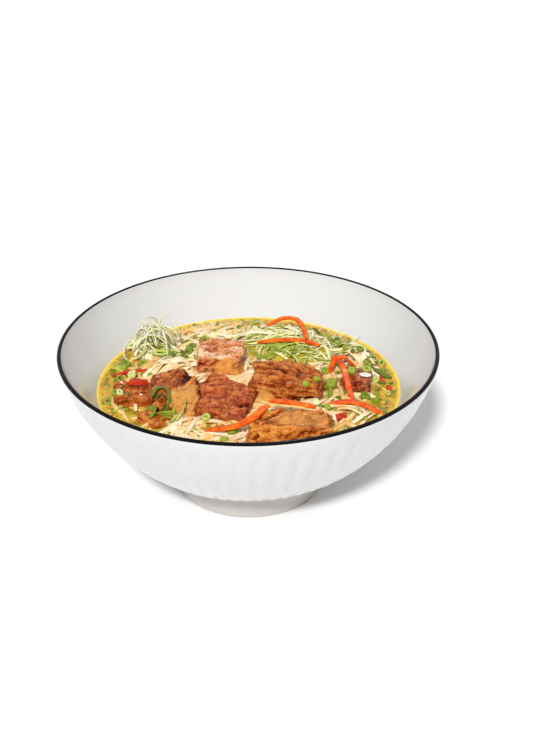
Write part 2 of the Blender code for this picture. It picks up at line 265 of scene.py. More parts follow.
@dataclass(frozen=True)
class GlazeFinish:
    """White glaze, with a faint ripple, and painted shade that makes it a warmer, darker grey
    towards the foot.
    """

    white: Colour = (0.630, 0.627, 0.624)
    # low: the colour of the painted shade on the lower wall and the foot.
    low: Colour = (0.47, 0.435, 0.405)

    def make(self) -> bpy.types.Material:
        """Builds the material."""
        paint = Paint("glaze", 0.16, 0.3)
        height = paint.node("ShaderNodeSeparateXYZ", {}, {0: paint.object_place()}, 2) * (1 / MM)
        # Painted shade: from about 30 mm down, the glaze turns to the darker, warmer grey,
        # standing for the shade round the foot.
        painted_foot_shade = (1 - height.band(6, 30)) * 0.9 + (paint.grain(35, 2) - 0.5) * 0.12
        paint.colour(paint.mix(painted_foot_shade.clamped(), self.white, self.low))
        paint.feed(paint.shader.inputs["Roughness"], 0.13 + 0.07 * paint.grain(14, 3))
        paint.bump(paint.grain(4, 2), 0.02, 0.4)
        return paint.material


@dataclass(frozen=True)
class BrothFinish:
    """Yellow broth: olive in the middle, brighter at the wall, with patches of red oil."""

    radius: float = 94.0
    deep: Colour = (0.27, 0.20, 0.012)
    light: Colour = (0.72, 0.52, 0.045)
    edge: Colour = (0.78, 0.50, 0.025)
    stain: Colour = (0.92, 0.66, 0.06)
    oil: Colour = (0.74, 0.28, 0.012)
    herb: Colour = (0.13, 0.14, 0.012)

    def make(self) -> bpy.types.Material:
        """Builds the material."""
        paint = Paint("broth", 0.24, 0.0, Specular_IOR_Level=0.4)
        clouds = paint.grain(8, 5, 0.66).band(0.38, 0.64)
        body = paint.mix(clouds, self.deep, self.light)
        place = paint.object_place((1 / (self.radius * MM), 1 / (self.radius * MM), 0))
        far = paint.node("ShaderNodeVectorMath", {"operation": "LENGTH"}, {0: place}, 1)
        wander_out = paint.grain(7, 4, 0.65) - 0.5
        body = paint.mix((far + wander_out * 0.16).band(0.955, 0.995) * 0.85, body, self.edge)
        edge_clear = (1 - far).band(0.0, 0.012)
        oil = paint.grain(4.2, 4, 0.6).band(0.53, 0.61) * edge_clear
        body = paint.mix(oil * 0.65, body, self.oil)
        herb = paint.grain(3.1, 4, 0.66).band(0.55, 0.61) * edge_clear
        body = paint.mix(herb * 0.8, body, self.herb)
        paint.colour(paint.mix((far + wander_out * 0.015).band(0.985, 0.998), body, self.stain))
        paint.bump(paint.grain(4, 3), 0.6, 0.7)
        return paint.material


@dataclass(frozen=True)
class MeatFinish:
    """Braised meat: painted shade in its furrows, painted highlights on its ridges, darker and
    redder at its sides, and its own colour in its tendon.

    Attributes:
        dark, mid, bright: The colours from its furrows to its ridges, as painted shade and painted
            highlight.
        side: The middle colour at its sides.
        tendon: The middle colour where it is tendon.
        turn: The direction of its fibres and streaks, in radians.
        fat: How strongly streaks of fat show on top.
        white: The colour of the fat.
    """

    name: str
    dark: Colour
    mid: Colour
    bright: Colour
    side: Colour
    tendon: Colour = (0.56, 0.235, 0.055)
    turn: float = 0.0
    fat: float = 0.0
    white: Colour = (0.92, 0.66, 0.46)

    def make(self) -> bpy.types.Material:
        """Builds the material."""
        paint = Paint(self.name, 0.4, 0.5, Specular_IOR_Level=0.08, Coat_Roughness=0.09)
        fibre = paint.grain(2.6, 4, 0.65, (0.22, 1, 1), self.turn)
        blotch = paint.grain(7.0, 3, 0.6)
        fine = paint.grain(1.1, 5, 0.7)
        # Painted shade and highlight: the relief's height darkens the furrows and lightens the
        # ridges, mixed with the fibres' own tone.
        painted_relief_shade = paint.tint(1)
        tone_and_relief_shade = (painted_relief_shade * 0.5 + fibre * 0.35 + blotch * 0.25 + fine * 0.65 - 0.38).band(0.22, 0.76)
        flesh = paint.ramp(tone_and_relief_shade, self.stops(self.mid, 1.0))
        flank = paint.ramp(tone_and_relief_shade, self.stops(self.side, 0.85))
        if self.fat:
            streak = paint.grain(5.5, 4, 0.6, (0.3, 1, 1), self.turn).band(0.53, 0.60)
            flesh = paint.mix(streak * self.fat, flesh, self.white)
        flesh = paint.mix(paint.tint(2), flesh, flank)
        soft_stops = ((0.0, tuple(0.30 * part for part in self.tendon)), (0.45, self.tendon),
                      (1.0, tuple(min(1.0, 1.45 * part) for part in self.tendon)))
        soft_tone_and_relief_shade = (painted_relief_shade * 0.6 + blotch * 0.45 + fine * 0.7 - 0.45).band(0.1, 0.75)
        soft = paint.ramp(soft_tone_and_relief_shade, soft_stops)
        mask = (paint.tint(0) + (blotch - 0.5) * 1.6 + (fine - 0.5) * 0.8).band(0.28, 0.80)
        paint.colour(paint.mix(mask, flesh, soft))
        paint.feed(paint.shader.inputs["Roughness"], 0.26 + 0.34 * fine)
        paint.bump((fibre * 0.5 + fine * 0.5) * (1 - 0.6 * mask), 1.3, 1.0)
        return paint.material

    def stops(self, mid: Colour, light: float) -> tuple[tuple[float, Colour], ...]:
        """The ramp's stops round a middle colour."""
        # The lowest stop is painted shade deep in the furrows; the top stop is a painted highlight
        # on the ridges.
        black = tuple(0.3 * part for part in self.dark)
        bright = tuple(light * part for part in self.bright)
        top = tuple(min(1.0, 1.25 * part) for part in bright)
        return (0.0, black), (0.2, self.dark), (0.5, mid), (0.8, bright), (1.0, top)


@dataclass(frozen=True)
class StrandFinish:
    """A finish for many thin pieces: each takes its colour from its tint's first channel."""

    name: str
    stops: tuple[tuple[float, Colour], ...]
    roughness: float = 0.4
    coat: float = 0.3
    stain: Colour = (0.62, 0.33, 0.05)
    stain_share: float = 0.0
    opacity: float = 1.0

    def make(self) -> bpy.types.Material:
        """Builds the material."""
        paint = Paint(self.name, self.roughness, self.coat, Specular_IOR_Level=0.35)
        paint.shader.inputs["Alpha"].default_value = self.opacity
        base = paint.ramp(paint.tint(0), self.stops)
        fine = paint.grain(2.5, 3)
        shade = fine.band(0.3, 0.75) * 0.18
        base = paint.mix(shade, base, self.stops[0][1])
        if self.stain_share:
            wet = (paint.grain(11, 3).band(0.45, 0.7) * self.stain_share + paint.tint(1)).clamped()
            base = paint.mix(wet, base, self.stain)
        paint.colour(base)
        return paint.material


@dataclass(frozen=True)
class PepperFinish:
    """Red pepper: orange and a deeper red, in patches that differ at random."""

    name: str = "pepper"
    low: Colour = (0.62, 0.045, 0.006)
    high: Colour = (0.86, 0.17, 0.018)

    def make(self) -> bpy.types.Material:
        """Builds the material."""
        paint = Paint(self.name, 0.36, 0.10, Specular_IOR_Level=0.18)
        paint.colour(paint.mix(paint.grain(3.5, 4).band(0.38, 0.62), self.low, self.high))
        paint.bump(paint.grain(1.6, 2), 0.15, 0.5)
        return paint.material


NOODLE_FINISH = StrandFinish(
    "noodle",
    ((0.0, (0.62, 0.33, 0.06)), (0.45, (0.90, 0.64, 0.29)), (1.0, (0.97, 0.86, 0.64))),
    0.33, 0.3, (0.72, 0.36, 0.035), 0.7,
)
SHRED_FINISH = StrandFinish(
    "shreds",
    ((0.0, (0.14, 0.19, 0.012)), (0.35, (0.47, 0.56, 0.08)), (0.7, (0.85, 0.82, 0.38)),
     (1.0, (0.96, 0.90, 0.66))),
    0.35, 0.3, (0.55, 0.38, 0.03), 0.25,
)
CURL_FINISH = StrandFinish(
    "curls",
    ((0.0, (0.44, 0.60, 0.04)), (0.3, (0.86, 0.87, 0.32)), (0.65, (0.99, 0.94, 0.62)),
     (1.0, (0.99, 0.97, 0.82))),
    0.5, 0.0, (0.96, 0.90, 0.42), 0.2, 0.8,
)
GREEN_FINISH = StrandFinish(
    "greens",
    ((0.0, (0.045, 0.075, 0.008)), (0.25, (0.13, 0.20, 0.014)), (0.5, (0.32, 0.40, 0.026)),
     (0.8, (0.60, 0.66, 0.15)), (1.0, (0.93, 0.91, 0.74))),
    0.3, 0.3, (0.42, 0.28, 0.02), 0.25,
)
# This finish also colours the two pale lines that are painted highlights at the broth's waterline.
WISP_AND_PAINTED_GLINT_FINISH = StrandFinish("wisps_and_painted_glints", ((0.0, (0.8, 0.78, 0.5)), (1.0, (0.95, 0.93, 0.85))), 0.3, 0.3)
OIL_FINISH = StrandFinish(
    "oil", ((0.0, (0.62, 0.16, 0.006)), (0.5, (0.78, 0.36, 0.014)), (1.0, (0.85, 0.58, 0.06))),
    0.06, 0.7,
)
GLAZE = GlazeFinish()
EDGE = PlainFinish("black_edge", (0.002, 0.002, 0.002), 0.25, 0.0, 0.18)
CHILLI = StrandFinish(
    "chilli", ((0.0, (0.30, 0.015, 0.004)), (1.0, (0.60, 0.06, 0.008))), 0.3, 0.4
)
ONION = StrandFinish(
    "onion", ((0.0, (0.76, 0.73, 0.60)), (1.0, (0.90, 0.88, 0.84))), 0.28, 0.4,
    (0.8, 0.68, 0.36), 0.3,
)
FLOOR = PlainFinish("floor", (0.90, 0.90, 0.90), 0.9)
BACKDROP = PlainFinish("backdrop", (0.0, 0.0, 0.0), 1.0, 0.0, 0.0, 1.0)


# ---------------------------------------------------------------- mesh helpers


def deselect_all() -> None:
    """Leaves nothing selected."""
    bpy.ops.object.select_all(action="DESELECT")


def make_active(obj: bpy.types.Object) -> None:
    """Selects one object alone and makes it active."""
    deselect_all()
    obj.select_set(True)
    bpy.context.view_layer.objects.active = obj


def apply_modifiers(obj: bpy.types.Object) -> None:
    """Applies each of an object's modifiers in turn."""
    make_active(obj)
    for modifier in list(obj.modifiers):
        bpy.ops.object.modifier_apply(modifier=modifier.name)


def shade_smooth(obj: bpy.types.Object, degrees: float = 40.0) -> None:
    """Smooth shading, with sharp edges past an angle."""
    make_active(obj)
    bpy.ops.object.shade_smooth_by_angle(angle=math.radians(degrees))


def dress(
    obj: bpy.types.Object,
    materials: Sequence[bpy.types.Material],
    replaced: Sequence[str] = (),
) -> bpy.types.Object:
    """Gives a finished piece its materials and its place in the frame.

    Args:
        obj: The piece, at the origin.
        materials: Its materials, by face index.
        replaced: The solids that it stands for.

    Returns:
        The same piece.
    """
    for material in materials:
        obj.data.materials.append(material)
    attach(obj, "root")
    if replaced:
        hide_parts(*replaced)
    LOG.info("%s: %d faces", obj.name, len(obj.data.polygons))
    return obj


def object_from(name: str, mesh: bpy.types.Mesh) -> bpy.types.Object:
    """A new object in the scene."""
    obj = bpy.data.objects.new(name, mesh)
    bpy.context.scene.collection.objects.link(obj)
    return obj


def copy_of_solid(name: str, node: str) -> bpy.types.Object:
    """A copy of a solid's mesh, merged along its edges.

    Args:
        name: The copy's name.
        node: The solid's name.

    Returns:
        The copy.
    """
    obj = object_from(name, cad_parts[node].data.copy())
    obj.data.materials.clear()
    shape = bmesh.new()
    shape.from_mesh(obj.data)
    bmesh.ops.remove_doubles(shape, verts=shape.verts, dist=0.02 * MM)
    shape.to_mesh(obj.data)
    shape.free()
    return obj


def even_out(obj: bpy.types.Object, voxel: float, factor: float, rounds: int) -> None:
    """Gives a piece an even mesh and rounds its edges.

    Args:
        obj: The piece.
        voxel: The size of its new faces, in millimetres.
        factor: How far each round of smoothing goes.
        rounds: How many rounds there are.
    """
    remesh = obj.modifiers.new("Even", "REMESH")
    remesh.mode = "VOXEL"
    remesh.voxel_size = voxel * MM
    smooth = obj.modifiers.new("Round", "SMOOTH")
    smooth.factor = factor
    smooth.iterations = rounds
    apply_modifiers(obj)


def unit_random(rng: random.Random) -> Vector:
    """A random direction."""
    z = rng.uniform(-1, 1)
    angle = rng.uniform(0, 2 * math.pi)
    flat = math.sqrt(1 - z * z)
    return Vector((flat * math.cos(angle), flat * math.sin(angle), z))


def ease(low: float, high: float, value: float) -> float:
    """A smooth step from 0 at low to 1 at high."""
    share = min(1.0, max(0.0, (value - low) / (high - low)))
    return share * share * (3 - 2 * share)


class Relief:
    """The heights of what has been laid in the bowl so far."""

    def __init__(self) -> None:
        """Starts with nothing in it."""
        self.trees: list[BVHTree] = []

    def add(self, obj: bpy.types.Object) -> None:
        """Adds a piece that later ones may lie on."""
        points = [vert.co for vert in obj.data.vertices]
        faces = [tuple(face.vertices) for face in obj.data.polygons]
        self.trees.append(BVHTree.FromPolygons(points, faces))

    def height(self, x: float, y: float, floor: float = 0.0) -> float:
        """The highest surface at a place in plan, or floor where that is higher."""
        top = floor
        for tree in self.trees:
            place = tree.ray_cast(Vector((x, y, 0.2)), Vector((0, 0, -1)))[0]
            if place is not None:
                top = max(top, place.z)
        return top


class Strands:
    """Many thin swept pieces in one mesh, each with its own tint."""

    def __init__(self, name: str) -> None:
        """Starts an empty mesh of that name."""
        self.name = name
        self.verts: list[Vector] = []
        self.faces: list[tuple[int, ...]] = []
        self.tints: list[tuple[float, float, float, float]] = []

    def add(
        self,
        path: Sequence[Vector],
        half_width: float,
        half_height: float,
        tint: Colour,
        sides: int = 6,
        roll: float = 0.0,
        twist: float = 0.0,
        tip: float = 0.35,
    ) -> None:
        """Sweeps an oval along a path.

        Args:
            path: The middle line, in metres.
            half_width: Half the strand's width across the path, at its middle.
            half_height: Half its thickness.
            tint: Three channels for its finish.
            sides: How many sides the section has.
            roll: The section's turn about the path at its start.
            twist: How much more it has turned at its end.
            tip: The share of the size that is left at the two ends.
        """
        count = len(path)
        start = len(self.verts)
        up = Vector((0, 0, 1))
        for i, place in enumerate(path):
            along = (path[min(i + 1, count - 1)] - path[max(i - 1, 0)]).normalized()
            side = along.cross(up)
            side = side.normalized() if side.length > 1e-6 else along.orthogonal().normalized()
            up = side.cross(along).normalized()
            share = i / (count - 1)
            turned = roll + twist * share
            across = side * math.cos(turned) + up * math.sin(turned)
            thick = up * math.cos(turned) - side * math.sin(turned)
            end = min(1.0, min(i, count - 1 - i) / 1.5)
            size = tip + (1 - tip) * end
            for k in range(sides):
                angle = 2 * math.pi * k / sides
                out = across * (half_width * math.cos(angle) * size)
                self.verts.append(place + out + thick * (half_height * math.sin(angle) * size))
                self.tints.append((*tint, 1.0))
        for i in range(count - 1):
            ring = start + i * sides
            for k in range(sides):
                after = (k + 1) % sides
                self.faces.append((ring + k, ring + after, ring + sides + after, ring + sides + k))
        self.faces.append(tuple(start + k for k in reversed(range(sides))))
        self.faces.append(tuple(start + (count - 1) * sides + k for k in range(sides)))

    def build(self) -> bpy.types.Object:
        """Makes the object."""
        mesh = bpy.data.meshes.new(self.name)
        mesh.from_pydata(self.verts, [], self.faces)
        write_tints(mesh, self.tints)
        shape = bmesh.new()
        shape.from_mesh(mesh)
        bmesh.ops.recalc_face_normals(shape, faces=shape.faces)
        shape.to_mesh(mesh)
        shape.free()
        mesh.shade_smooth()
        return object_from(self.name, mesh)


def write_tints(mesh: bpy.types.Mesh, tints: Sequence[Sequence[float]]) -> None:
    """Stores one tint for each vertex of a mesh."""
    layer = mesh.attributes.new("tint", "FLOAT_COLOR", "POINT")
    layer.data.foreach_set("color", [part for tint in tints for part in tint])


class Scatter:
    """Many copies of a small shape in one mesh, each with its own tint."""

    def __init__(self, name: str, pattern: bpy.types.Object) -> None:
        """Takes the shape to copy, and removes its object when the mesh is built."""
        self.name = name
        self.pattern = pattern
        self.shape = bmesh.new()
        self.tints: list[tuple[float, float, float, float]] = []

    def add(self, place: Matrix, tint: Colour) -> None:
        """Adds a copy at a place, in the row's frame."""
        mesh = self.pattern.data.copy()
        mesh.transform(place)
        self.shape.from_mesh(mesh)
        self.tints += [(*tint, 1.0)] * len(mesh.vertices)
        bpy.data.meshes.remove(mesh)

    def build(self) -> bpy.types.Object:
        """Makes the object."""
        mesh = bpy.data.meshes.new(self.name)
        self.shape.to_mesh(mesh)
        self.shape.free()
        write_tints(mesh, self.tints)
        mesh.shade_smooth()
        bpy.data.objects.remove(self.pattern, do_unlink=True)
        return object_from(self.name, mesh)


def placed(rng: random.Random, spot: Vector, size: Sequence[float], tilt: float) -> Matrix:
    """A place for a small piece: leaning by up to a tilt, and turned at random.

    Args:
        rng: The source of chance.
        spot: Where it lies.
        size: Its scale along X, Y and Z.
        tilt: The most that it leans, in degrees.

    Returns:
        The matrix.
    """
    spin = rng.uniform(0, 2 * math.pi)
    lean = math.radians(rng.uniform(0, tilt))
    axis = Vector((math.cos(rng.uniform(0, 6.3)), math.sin(rng.uniform(0, 6.3)), 0))
    return (
        Matrix.Translation(spot)
        @ Matrix.Rotation(lean, 4, axis)
        @ Matrix.Rotation(spin, 4, "Z")
        @ Matrix.Diagonal((*size, 1.0))
    )


def wander(
    rng: random.Random, start: Point, heading: float, length: float, steps: int, bend: float
) -> list[Point]:
    """A path in plan whose direction drifts.

    Args:
        rng: The source of chance.
        start: Where it starts, in millimetres.
        heading: Its first direction, in radians.
        length: Its length, in millimetres.
        steps: How many pieces it has.
        bend: How strongly it turns, in radians for each step.

    Returns:
        Its points, in millimetres.
    """
    x, y = start
    path = [(x, y)]
    turn = rng.gauss(0, bend)
    for _ in range(steps):
        turn = 0.75 * turn + rng.gauss(0, bend * 0.5)
        heading += turn
        x += math.cos(heading) * length / steps
        y += math.sin(heading) * length / steps
        path.append((x, y))
    return path


def in_ellipse(rng: random.Random, centre: Point, half: Point, turn: float) -> Point:
    """A random point in a turned ellipse, in the ellipse's own units."""
    angle, share = rng.uniform(0, 2 * math.pi), math.sqrt(rng.random())
    x, y = half[0] * share * math.cos(angle), half[1] * share * math.sin(angle)
    cos, sin = math.cos(math.radians(turn)), math.sin(math.radians(turn))
    return centre[0] + x * cos - y * sin, centre[1] + x * sin + y * cos


# ---------------------------------------------------------------- the bowl


@dataclass
class Bowl:
    """The ribbed bowl with its black edge. Sizes are in millimetres.

    Attributes:
        radius, height: The size of its rim.
        sphere: The radius of its outer wall, which is part of a sphere.
        wall: The thickness of its wall at the broth and below.
        lip: The radius of its round lip.
        broth_level: The height of the broth.
        foot_top, foot_bottom, foot_inner: The radii of its foot ring.
        recess: The height of its underside inside the foot ring.
        ribs, rib_depth: The upright ribs round its outer wall.
        segments: How many faces go round it.
        rib_top: How far below the rim the ribs start, and where they are full.
        rib_foot: The height at which the ribs start, and where they are full.
        edge_outside, edge_inside: How far the black edge goes down each side of the lip,
            from a little above the lip's middle.
    """

    radius: float = 114.0
    height: float = 94.5
    sphere: float = 118.0
    wall: float = 10.2
    lip: float = 1.4
    broth_level: float = 66.5
    foot_top: float = 48.0
    foot_bottom: float = 45.0
    foot_inner: float = 38.0
    recess: float = 6.5
    ribs: int = 60
    rib_depth: float = 0.9
    segments: int = 480
    rib_top: Point = (8.5, 17.0)
    rib_foot: Point = (15.5, 19.0)
    edge_outside: float = 0.7
    edge_inside: float = -0.2

    @property
    def centre(self) -> float:
        """The height of the wall's centre."""
        return self.height - self.lip + math.sqrt(self.sphere**2 - self.radius**2)

    def inner(self, angle: float) -> Point:
        """The inner wall at an angle from straight down: thinner above the broth."""
        rim = self.radius - 2 * self.lip
        drop = self.centre - self.height + self.lip
        rim_sphere, rim_angle = math.hypot(rim, drop), math.atan2(rim, drop)
        sphere = self.sphere - self.wall
        low = math.acos((self.centre - self.broth_level) / sphere)
        share = min(1.0, max(0.0, (angle - low) / (rim_angle - low)))
        sphere += share * (rim_sphere - sphere)
        return sphere * math.sin(angle), self.centre - sphere * math.cos(angle)

    def profile(self) -> list[Point]:
        """Radius and height, from the floor's middle, over the lip, to the underside's."""
        rim_angle = math.atan2(self.radius - 2 * self.lip, self.centre - self.height + self.lip)
        points = [self.inner(rim_angle * i / 30) for i in range(31)]
        for i in range(1, 10):
            angle = math.pi * (1 - i / 10)
            points.append((self.radius + self.lip * (math.cos(angle) - 1),
                           self.height + self.lip * (math.sin(angle) - 1)))
        top = math.asin(self.radius / self.sphere)
        foot = math.asin(self.foot_top / self.sphere)
        for i in range(41):
            angle = top + (foot - top) * (i / 40)
            points.append((self.sphere * math.sin(angle),
                           self.centre - self.sphere * math.cos(angle)))
        foot_z = points[-1][1]
        for i in range(1, 8):
            share = i / 8
            points.append((self.foot_top + (self.foot_bottom - self.foot_top) * share,
                           foot_z * (1 - share) + 1.2 * share))
        outer, inner, recess = self.foot_bottom, self.foot_inner, self.recess
        points += [(outer, 1.0), (outer - 0.3, 0.3), (outer - 1, 0), (inner + 0.6, 0)]
        points += [(inner, 0.5), (inner - 0.8, recess - 0.7), (inner - 1.6, recess)]
        return points + [(inner / 2, recess), (0, recess)]

    def rib_share(self, z: float) -> float:
        """How much of the ribs' depth there is at a height."""
        top, full = self.rib_top
        return ease(self.height - top, self.height - full, z) * ease(*self.rib_foot, z)

    def build(self) -> bpy.types.Object:
        """Models the bowl.

        Returns:
            The bowl, with its edge painted black.
        """
        points = [Vector((r * MM, 0, z * MM)) for r, z in self.profile()]
        mesh = bpy.data.meshes.new("ribbed_bowl")
        mesh.from_pydata(points, [(i, i + 1) for i in range(len(points) - 1)], [])
        obj = object_from("ribbed_bowl", mesh)
        make_active(obj)
        bpy.ops.object.mode_set(mode="EDIT")
        bpy.ops.mesh.select_all(action="SELECT")
        bpy.ops.mesh.spin(steps=self.segments, angle=2 * math.pi, center=(0, 0, 0), axis=(0, 0, 1))
        bpy.ops.mesh.select_all(action="SELECT")
        bpy.ops.mesh.remove_doubles(threshold=0.01 * MM)
        bpy.ops.mesh.normals_make_consistent(inside=False)
        bpy.ops.object.mode_set(mode="OBJECT")
        self.press_ribs(obj)
        self.paint_edge(obj)
        shade_smooth(obj, 50)
        return dress(obj, [GLAZE.make(), EDGE.make()], ["bowl"])

    def press_ribs(self, obj: bpy.types.Object) -> None:
        """Presses the ribs into the outer wall."""
        for vert in obj.data.vertices:
            flat = math.hypot(vert.co.x, vert.co.y)
            from_centre = math.hypot(flat, self.centre * MM - vert.co.z)
            if abs(from_centre - self.sphere * MM) > 0.05 * MM:
                continue
            angle = math.atan2(vert.co.y, vert.co.x)
            groove = (0.5 - 0.5 * math.cos(self.ribs * angle)) ** 1.5
            depth = self.rib_depth * MM * groove * self.rib_share(vert.co.z / MM)
            vert.co.x -= vert.co.x / flat * depth
            vert.co.y -= vert.co.y / flat * depth

    def paint_edge(self, obj: bpy.types.Object) -> None:
        """Gives the lip's faces the black finish."""
        middle = (self.radius - self.lip) * MM
        for face in obj.data.polygons:
            outside = math.hypot(face.center.x, face.center.y) > middle
            depth = self.edge_outside if outside else self.edge_inside
            face.material_index = int(face.center.z > (self.height - self.lip * 0.5 - depth) * MM)


# ---------------------------------------------------------------- broth


@dataclass
class Broth:
    """The broth's surface, which climbs a little where it meets the wall.

    Attributes:
        bowl: The bowl that holds it.
        climb, climb_width: How high it climbs, and over what width.
        depth: How far it goes down.
        segments: How many faces go round it.
        rings: The widths of its rings of faces, from the wall inwards.
    """

    bowl: Bowl
    climb: float = 0.25
    climb_width: float = 3.0
    depth: float = 5.0
    segments: int = 192
    rings: tuple[float, ...] = (0.8, 0.8, 0.8, 1.0, 1.4, 2, 3, 4, 5, 6, 8, 10, 12, 12, 12, 9)

    def build(self, relief: Relief) -> bpy.types.Object:
        """Models the broth.

        Args:
            relief: The heights, to which the surface is added.

        Returns:
            The broth.
        """
        level = self.bowl.broth_level
        sphere = self.bowl.sphere - self.bowl.wall
        wall = math.sqrt(sphere**2 - (self.bowl.centre - level) ** 2)
        outer = wall + 0.6
        bpy.ops.mesh.primitive_circle_add(
            vertices=self.segments, radius=outer * MM, fill_type="NGON",
            location=(0, 0, (level - self.depth) * MM),
        )
        obj = bpy.context.active_object
        obj.name = obj.data.name = "broth_surface"
        make_active(obj)
        bpy.ops.object.transform_apply(location=True, rotation=True, scale=True)
        bpy.ops.object.mode_set(mode="EDIT")
        bpy.ops.mesh.select_all(action="SELECT")
        bpy.ops.mesh.extrude_region_move(TRANSFORM_OT_translate={"value": (0, 0, self.depth * MM)})
        for thickness in self.rings:
            bpy.ops.mesh.inset(thickness=thickness * MM, depth=0)
        bpy.ops.mesh.poke()
        bpy.ops.mesh.select_all(action="SELECT")
        bpy.ops.mesh.normals_make_consistent(inside=False)
        bpy.ops.object.mode_set(mode="OBJECT")
        for vert in obj.data.vertices:
            flat = math.hypot(vert.co.x, vert.co.y) / MM
            if vert.co.z > (level - 1) * MM:
                near = max(0.0, 1 - (wall - flat) / self.climb_width)
                ripple = noise.noise(Vector((vert.co.x, vert.co.y, 0)) * 60) * 0.25
                vert.co.z += (self.climb * min(near, 1.2) ** 2 + ripple) * MM
        shade_smooth(obj, 60)
        relief.add(obj)
        return dress(obj, [BrothFinish(wall).make()], ["broth"])


# ---------------------------------------------------------------- meat


@dataclass
class MeatChunk:
    """One chunk of meat, grown from its solid.

    Attributes:
        node: The solid's name.
        finish: Its colours.
        grain_turn: The direction of its fibres in plan, in degrees.
        tendon: Places where it is tendon: centre in the chunk's box (from -1 to 1) and radius.
        torn: How deep the furrows between its fibres are, in millimetres.
        seed: A number that makes its relief its own.
        voxel: The size of its faces, in millimetres.
    """

    node: str
    finish: MeatFinish
    grain_turn: float = 0.0
    tendon: tuple[tuple[float, float, float, float], ...] = ()
    torn: float = 1.0
    seed: float = 0.0
    voxel: float = 0.6

    def build(self, relief: Relief) -> bpy.types.Object:
        """Models the chunk and adds it to the relief."""
        obj = copy_of_solid(f"{self.node}_meat", self.node)
        even_out(obj, self.voxel, 0.7, 8)
        self.shape_surface(obj)
        obj.data.shade_smooth()
        relief.add(obj)
        return dress(obj, [self.finish.make()], [self.node])

    def shape_surface(self, obj: bpy.types.Object) -> None:
        """Roughens the surface along the fibres, marks the tendon, and stores the relief's height
        for the finish's painted shade.
        """
        low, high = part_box(self.node)
        middle = (Vector(low) + Vector(high)) / 2
        half = (Vector(high) - Vector(low)) / 2
        turn = Matrix.Rotation(-math.radians(self.grain_turn), 3, "Z")
        shift = Vector((self.seed, 2 * self.seed, 0))
        normals = [vert.normal.copy() for vert in obj.data.vertices]
        tints = []
        for vert, normal in zip(obj.data.vertices, normals):
            spot = (vert.co - middle) / MM
            boxed = Vector([part / (size / MM) for part, size in zip(spot, half)])
            soft = 0.0
            for *centre, radius in self.tendon:
                soft = max(soft, ease(radius * 1.2, radius * 0.8, (boxed - Vector(centre)).length))
            along = turn @ spot
            along.x *= 0.16
            lump = noise.noise(spot * 0.12 + shift)
            dent = noise.noise(spot * 0.28 - shift)
            bundle = 0.5 - 1.6 * abs(noise.noise(along * 0.24 + shift))
            strand = noise.noise(along * 0.75 + shift)
            crumb = noise.noise(spot * 0.62 + shift) + 0.6 * noise.noise(spot * 1.25 + shift)
            tear = -ease(0.26, 0.5, noise.noise(along * 0.15 - shift)) * 1.5
            rough = 1.15 * bundle + 0.85 * strand + 0.55 * crumb + 0.8 * dent + tear
            rough *= self.torn * (1 - 0.35 * soft)
            vert.co += normal * (2.4 * lump + rough + 0.4 * soft - 0.2) * MM
            flank = ease(0.75, 0.35, normal.z)
            # Second channel: the relief's height, which the finish turns into painted shade in the
            # furrows and painted highlights on the ridges.
            tints.append((soft, min(1.0, max(0.0, 0.55 + 0.28 * rough)), flank, 1.0))
        write_tints(obj.data, tints)


RED = MeatFinish("meat_red", (0.085, 0.005, 0.0003), (0.300, 0.036, 0.003), (0.60, 0.175, 0.045),
                 (0.28, 0.030, 0.0015))
BROWN = MeatFinish("meat_brown", (0.095, 0.009, 0.0003), (0.330, 0.057, 0.003),
                   (0.61, 0.205, 0.042), (0.31, 0.042, 0.0015), (0.56, 0.25, 0.055))
PINK = MeatFinish("meat_pink", (0.17, 0.018, 0.002), (0.47, 0.125, 0.035), (0.74, 0.34, 0.150),
                  (0.46, 0.078, 0.004), (0.56, 0.225, 0.050), 0.6, 0.85)
GOLD = MeatFinish("meat_gold", (0.10, 0.009, 0.0003), (0.40, 0.078, 0.003), (0.72, 0.27, 0.045),
                  (0.36, 0.058, 0.002), (0.52, 0.205, 0.045))
DARK = MeatFinish("meat_dark", (0.07, 0.003, 0.0003), (0.21, 0.016, 0.002), (0.56, 0.18, 0.07),
                  (0.17, 0.012, 0.001))

CHUNKS = (
    MeatChunk("shank_block", PINK, 30, ((0.3, -1.0, 0.25, 0.62), (0.85, -0.7, 0.1, 0.4)),
              1.15, 2.6),
    MeatChunk("brisket_block", RED, 12, (), 0.9, 4.1),
    MeatChunk("brisket_long", BROWN, -18, ((-0.8, -0.9, 0.1, 0.5),), 1.25, 9.7),
    MeatChunk("tendon_piece", GOLD, 30, ((0.25, 0.1, 0.95, 0.62),), 1.3, 13.9),
    MeatChunk("brisket_left", BROWN, 60, ((0.5, -0.7, 0.6, 0.75),), 0.95, 17.2),
    MeatChunk("brisket_flat", BROWN, 10, (), 0.7, 22.4),
    MeatChunk("brisket_end", GOLD, -30, (), 0.8, 24.8),
    MeatChunk("brisket_small", DARK, 40, (), 0.75, 29.6),
)


# ---------------------------------------------------------------- noodles


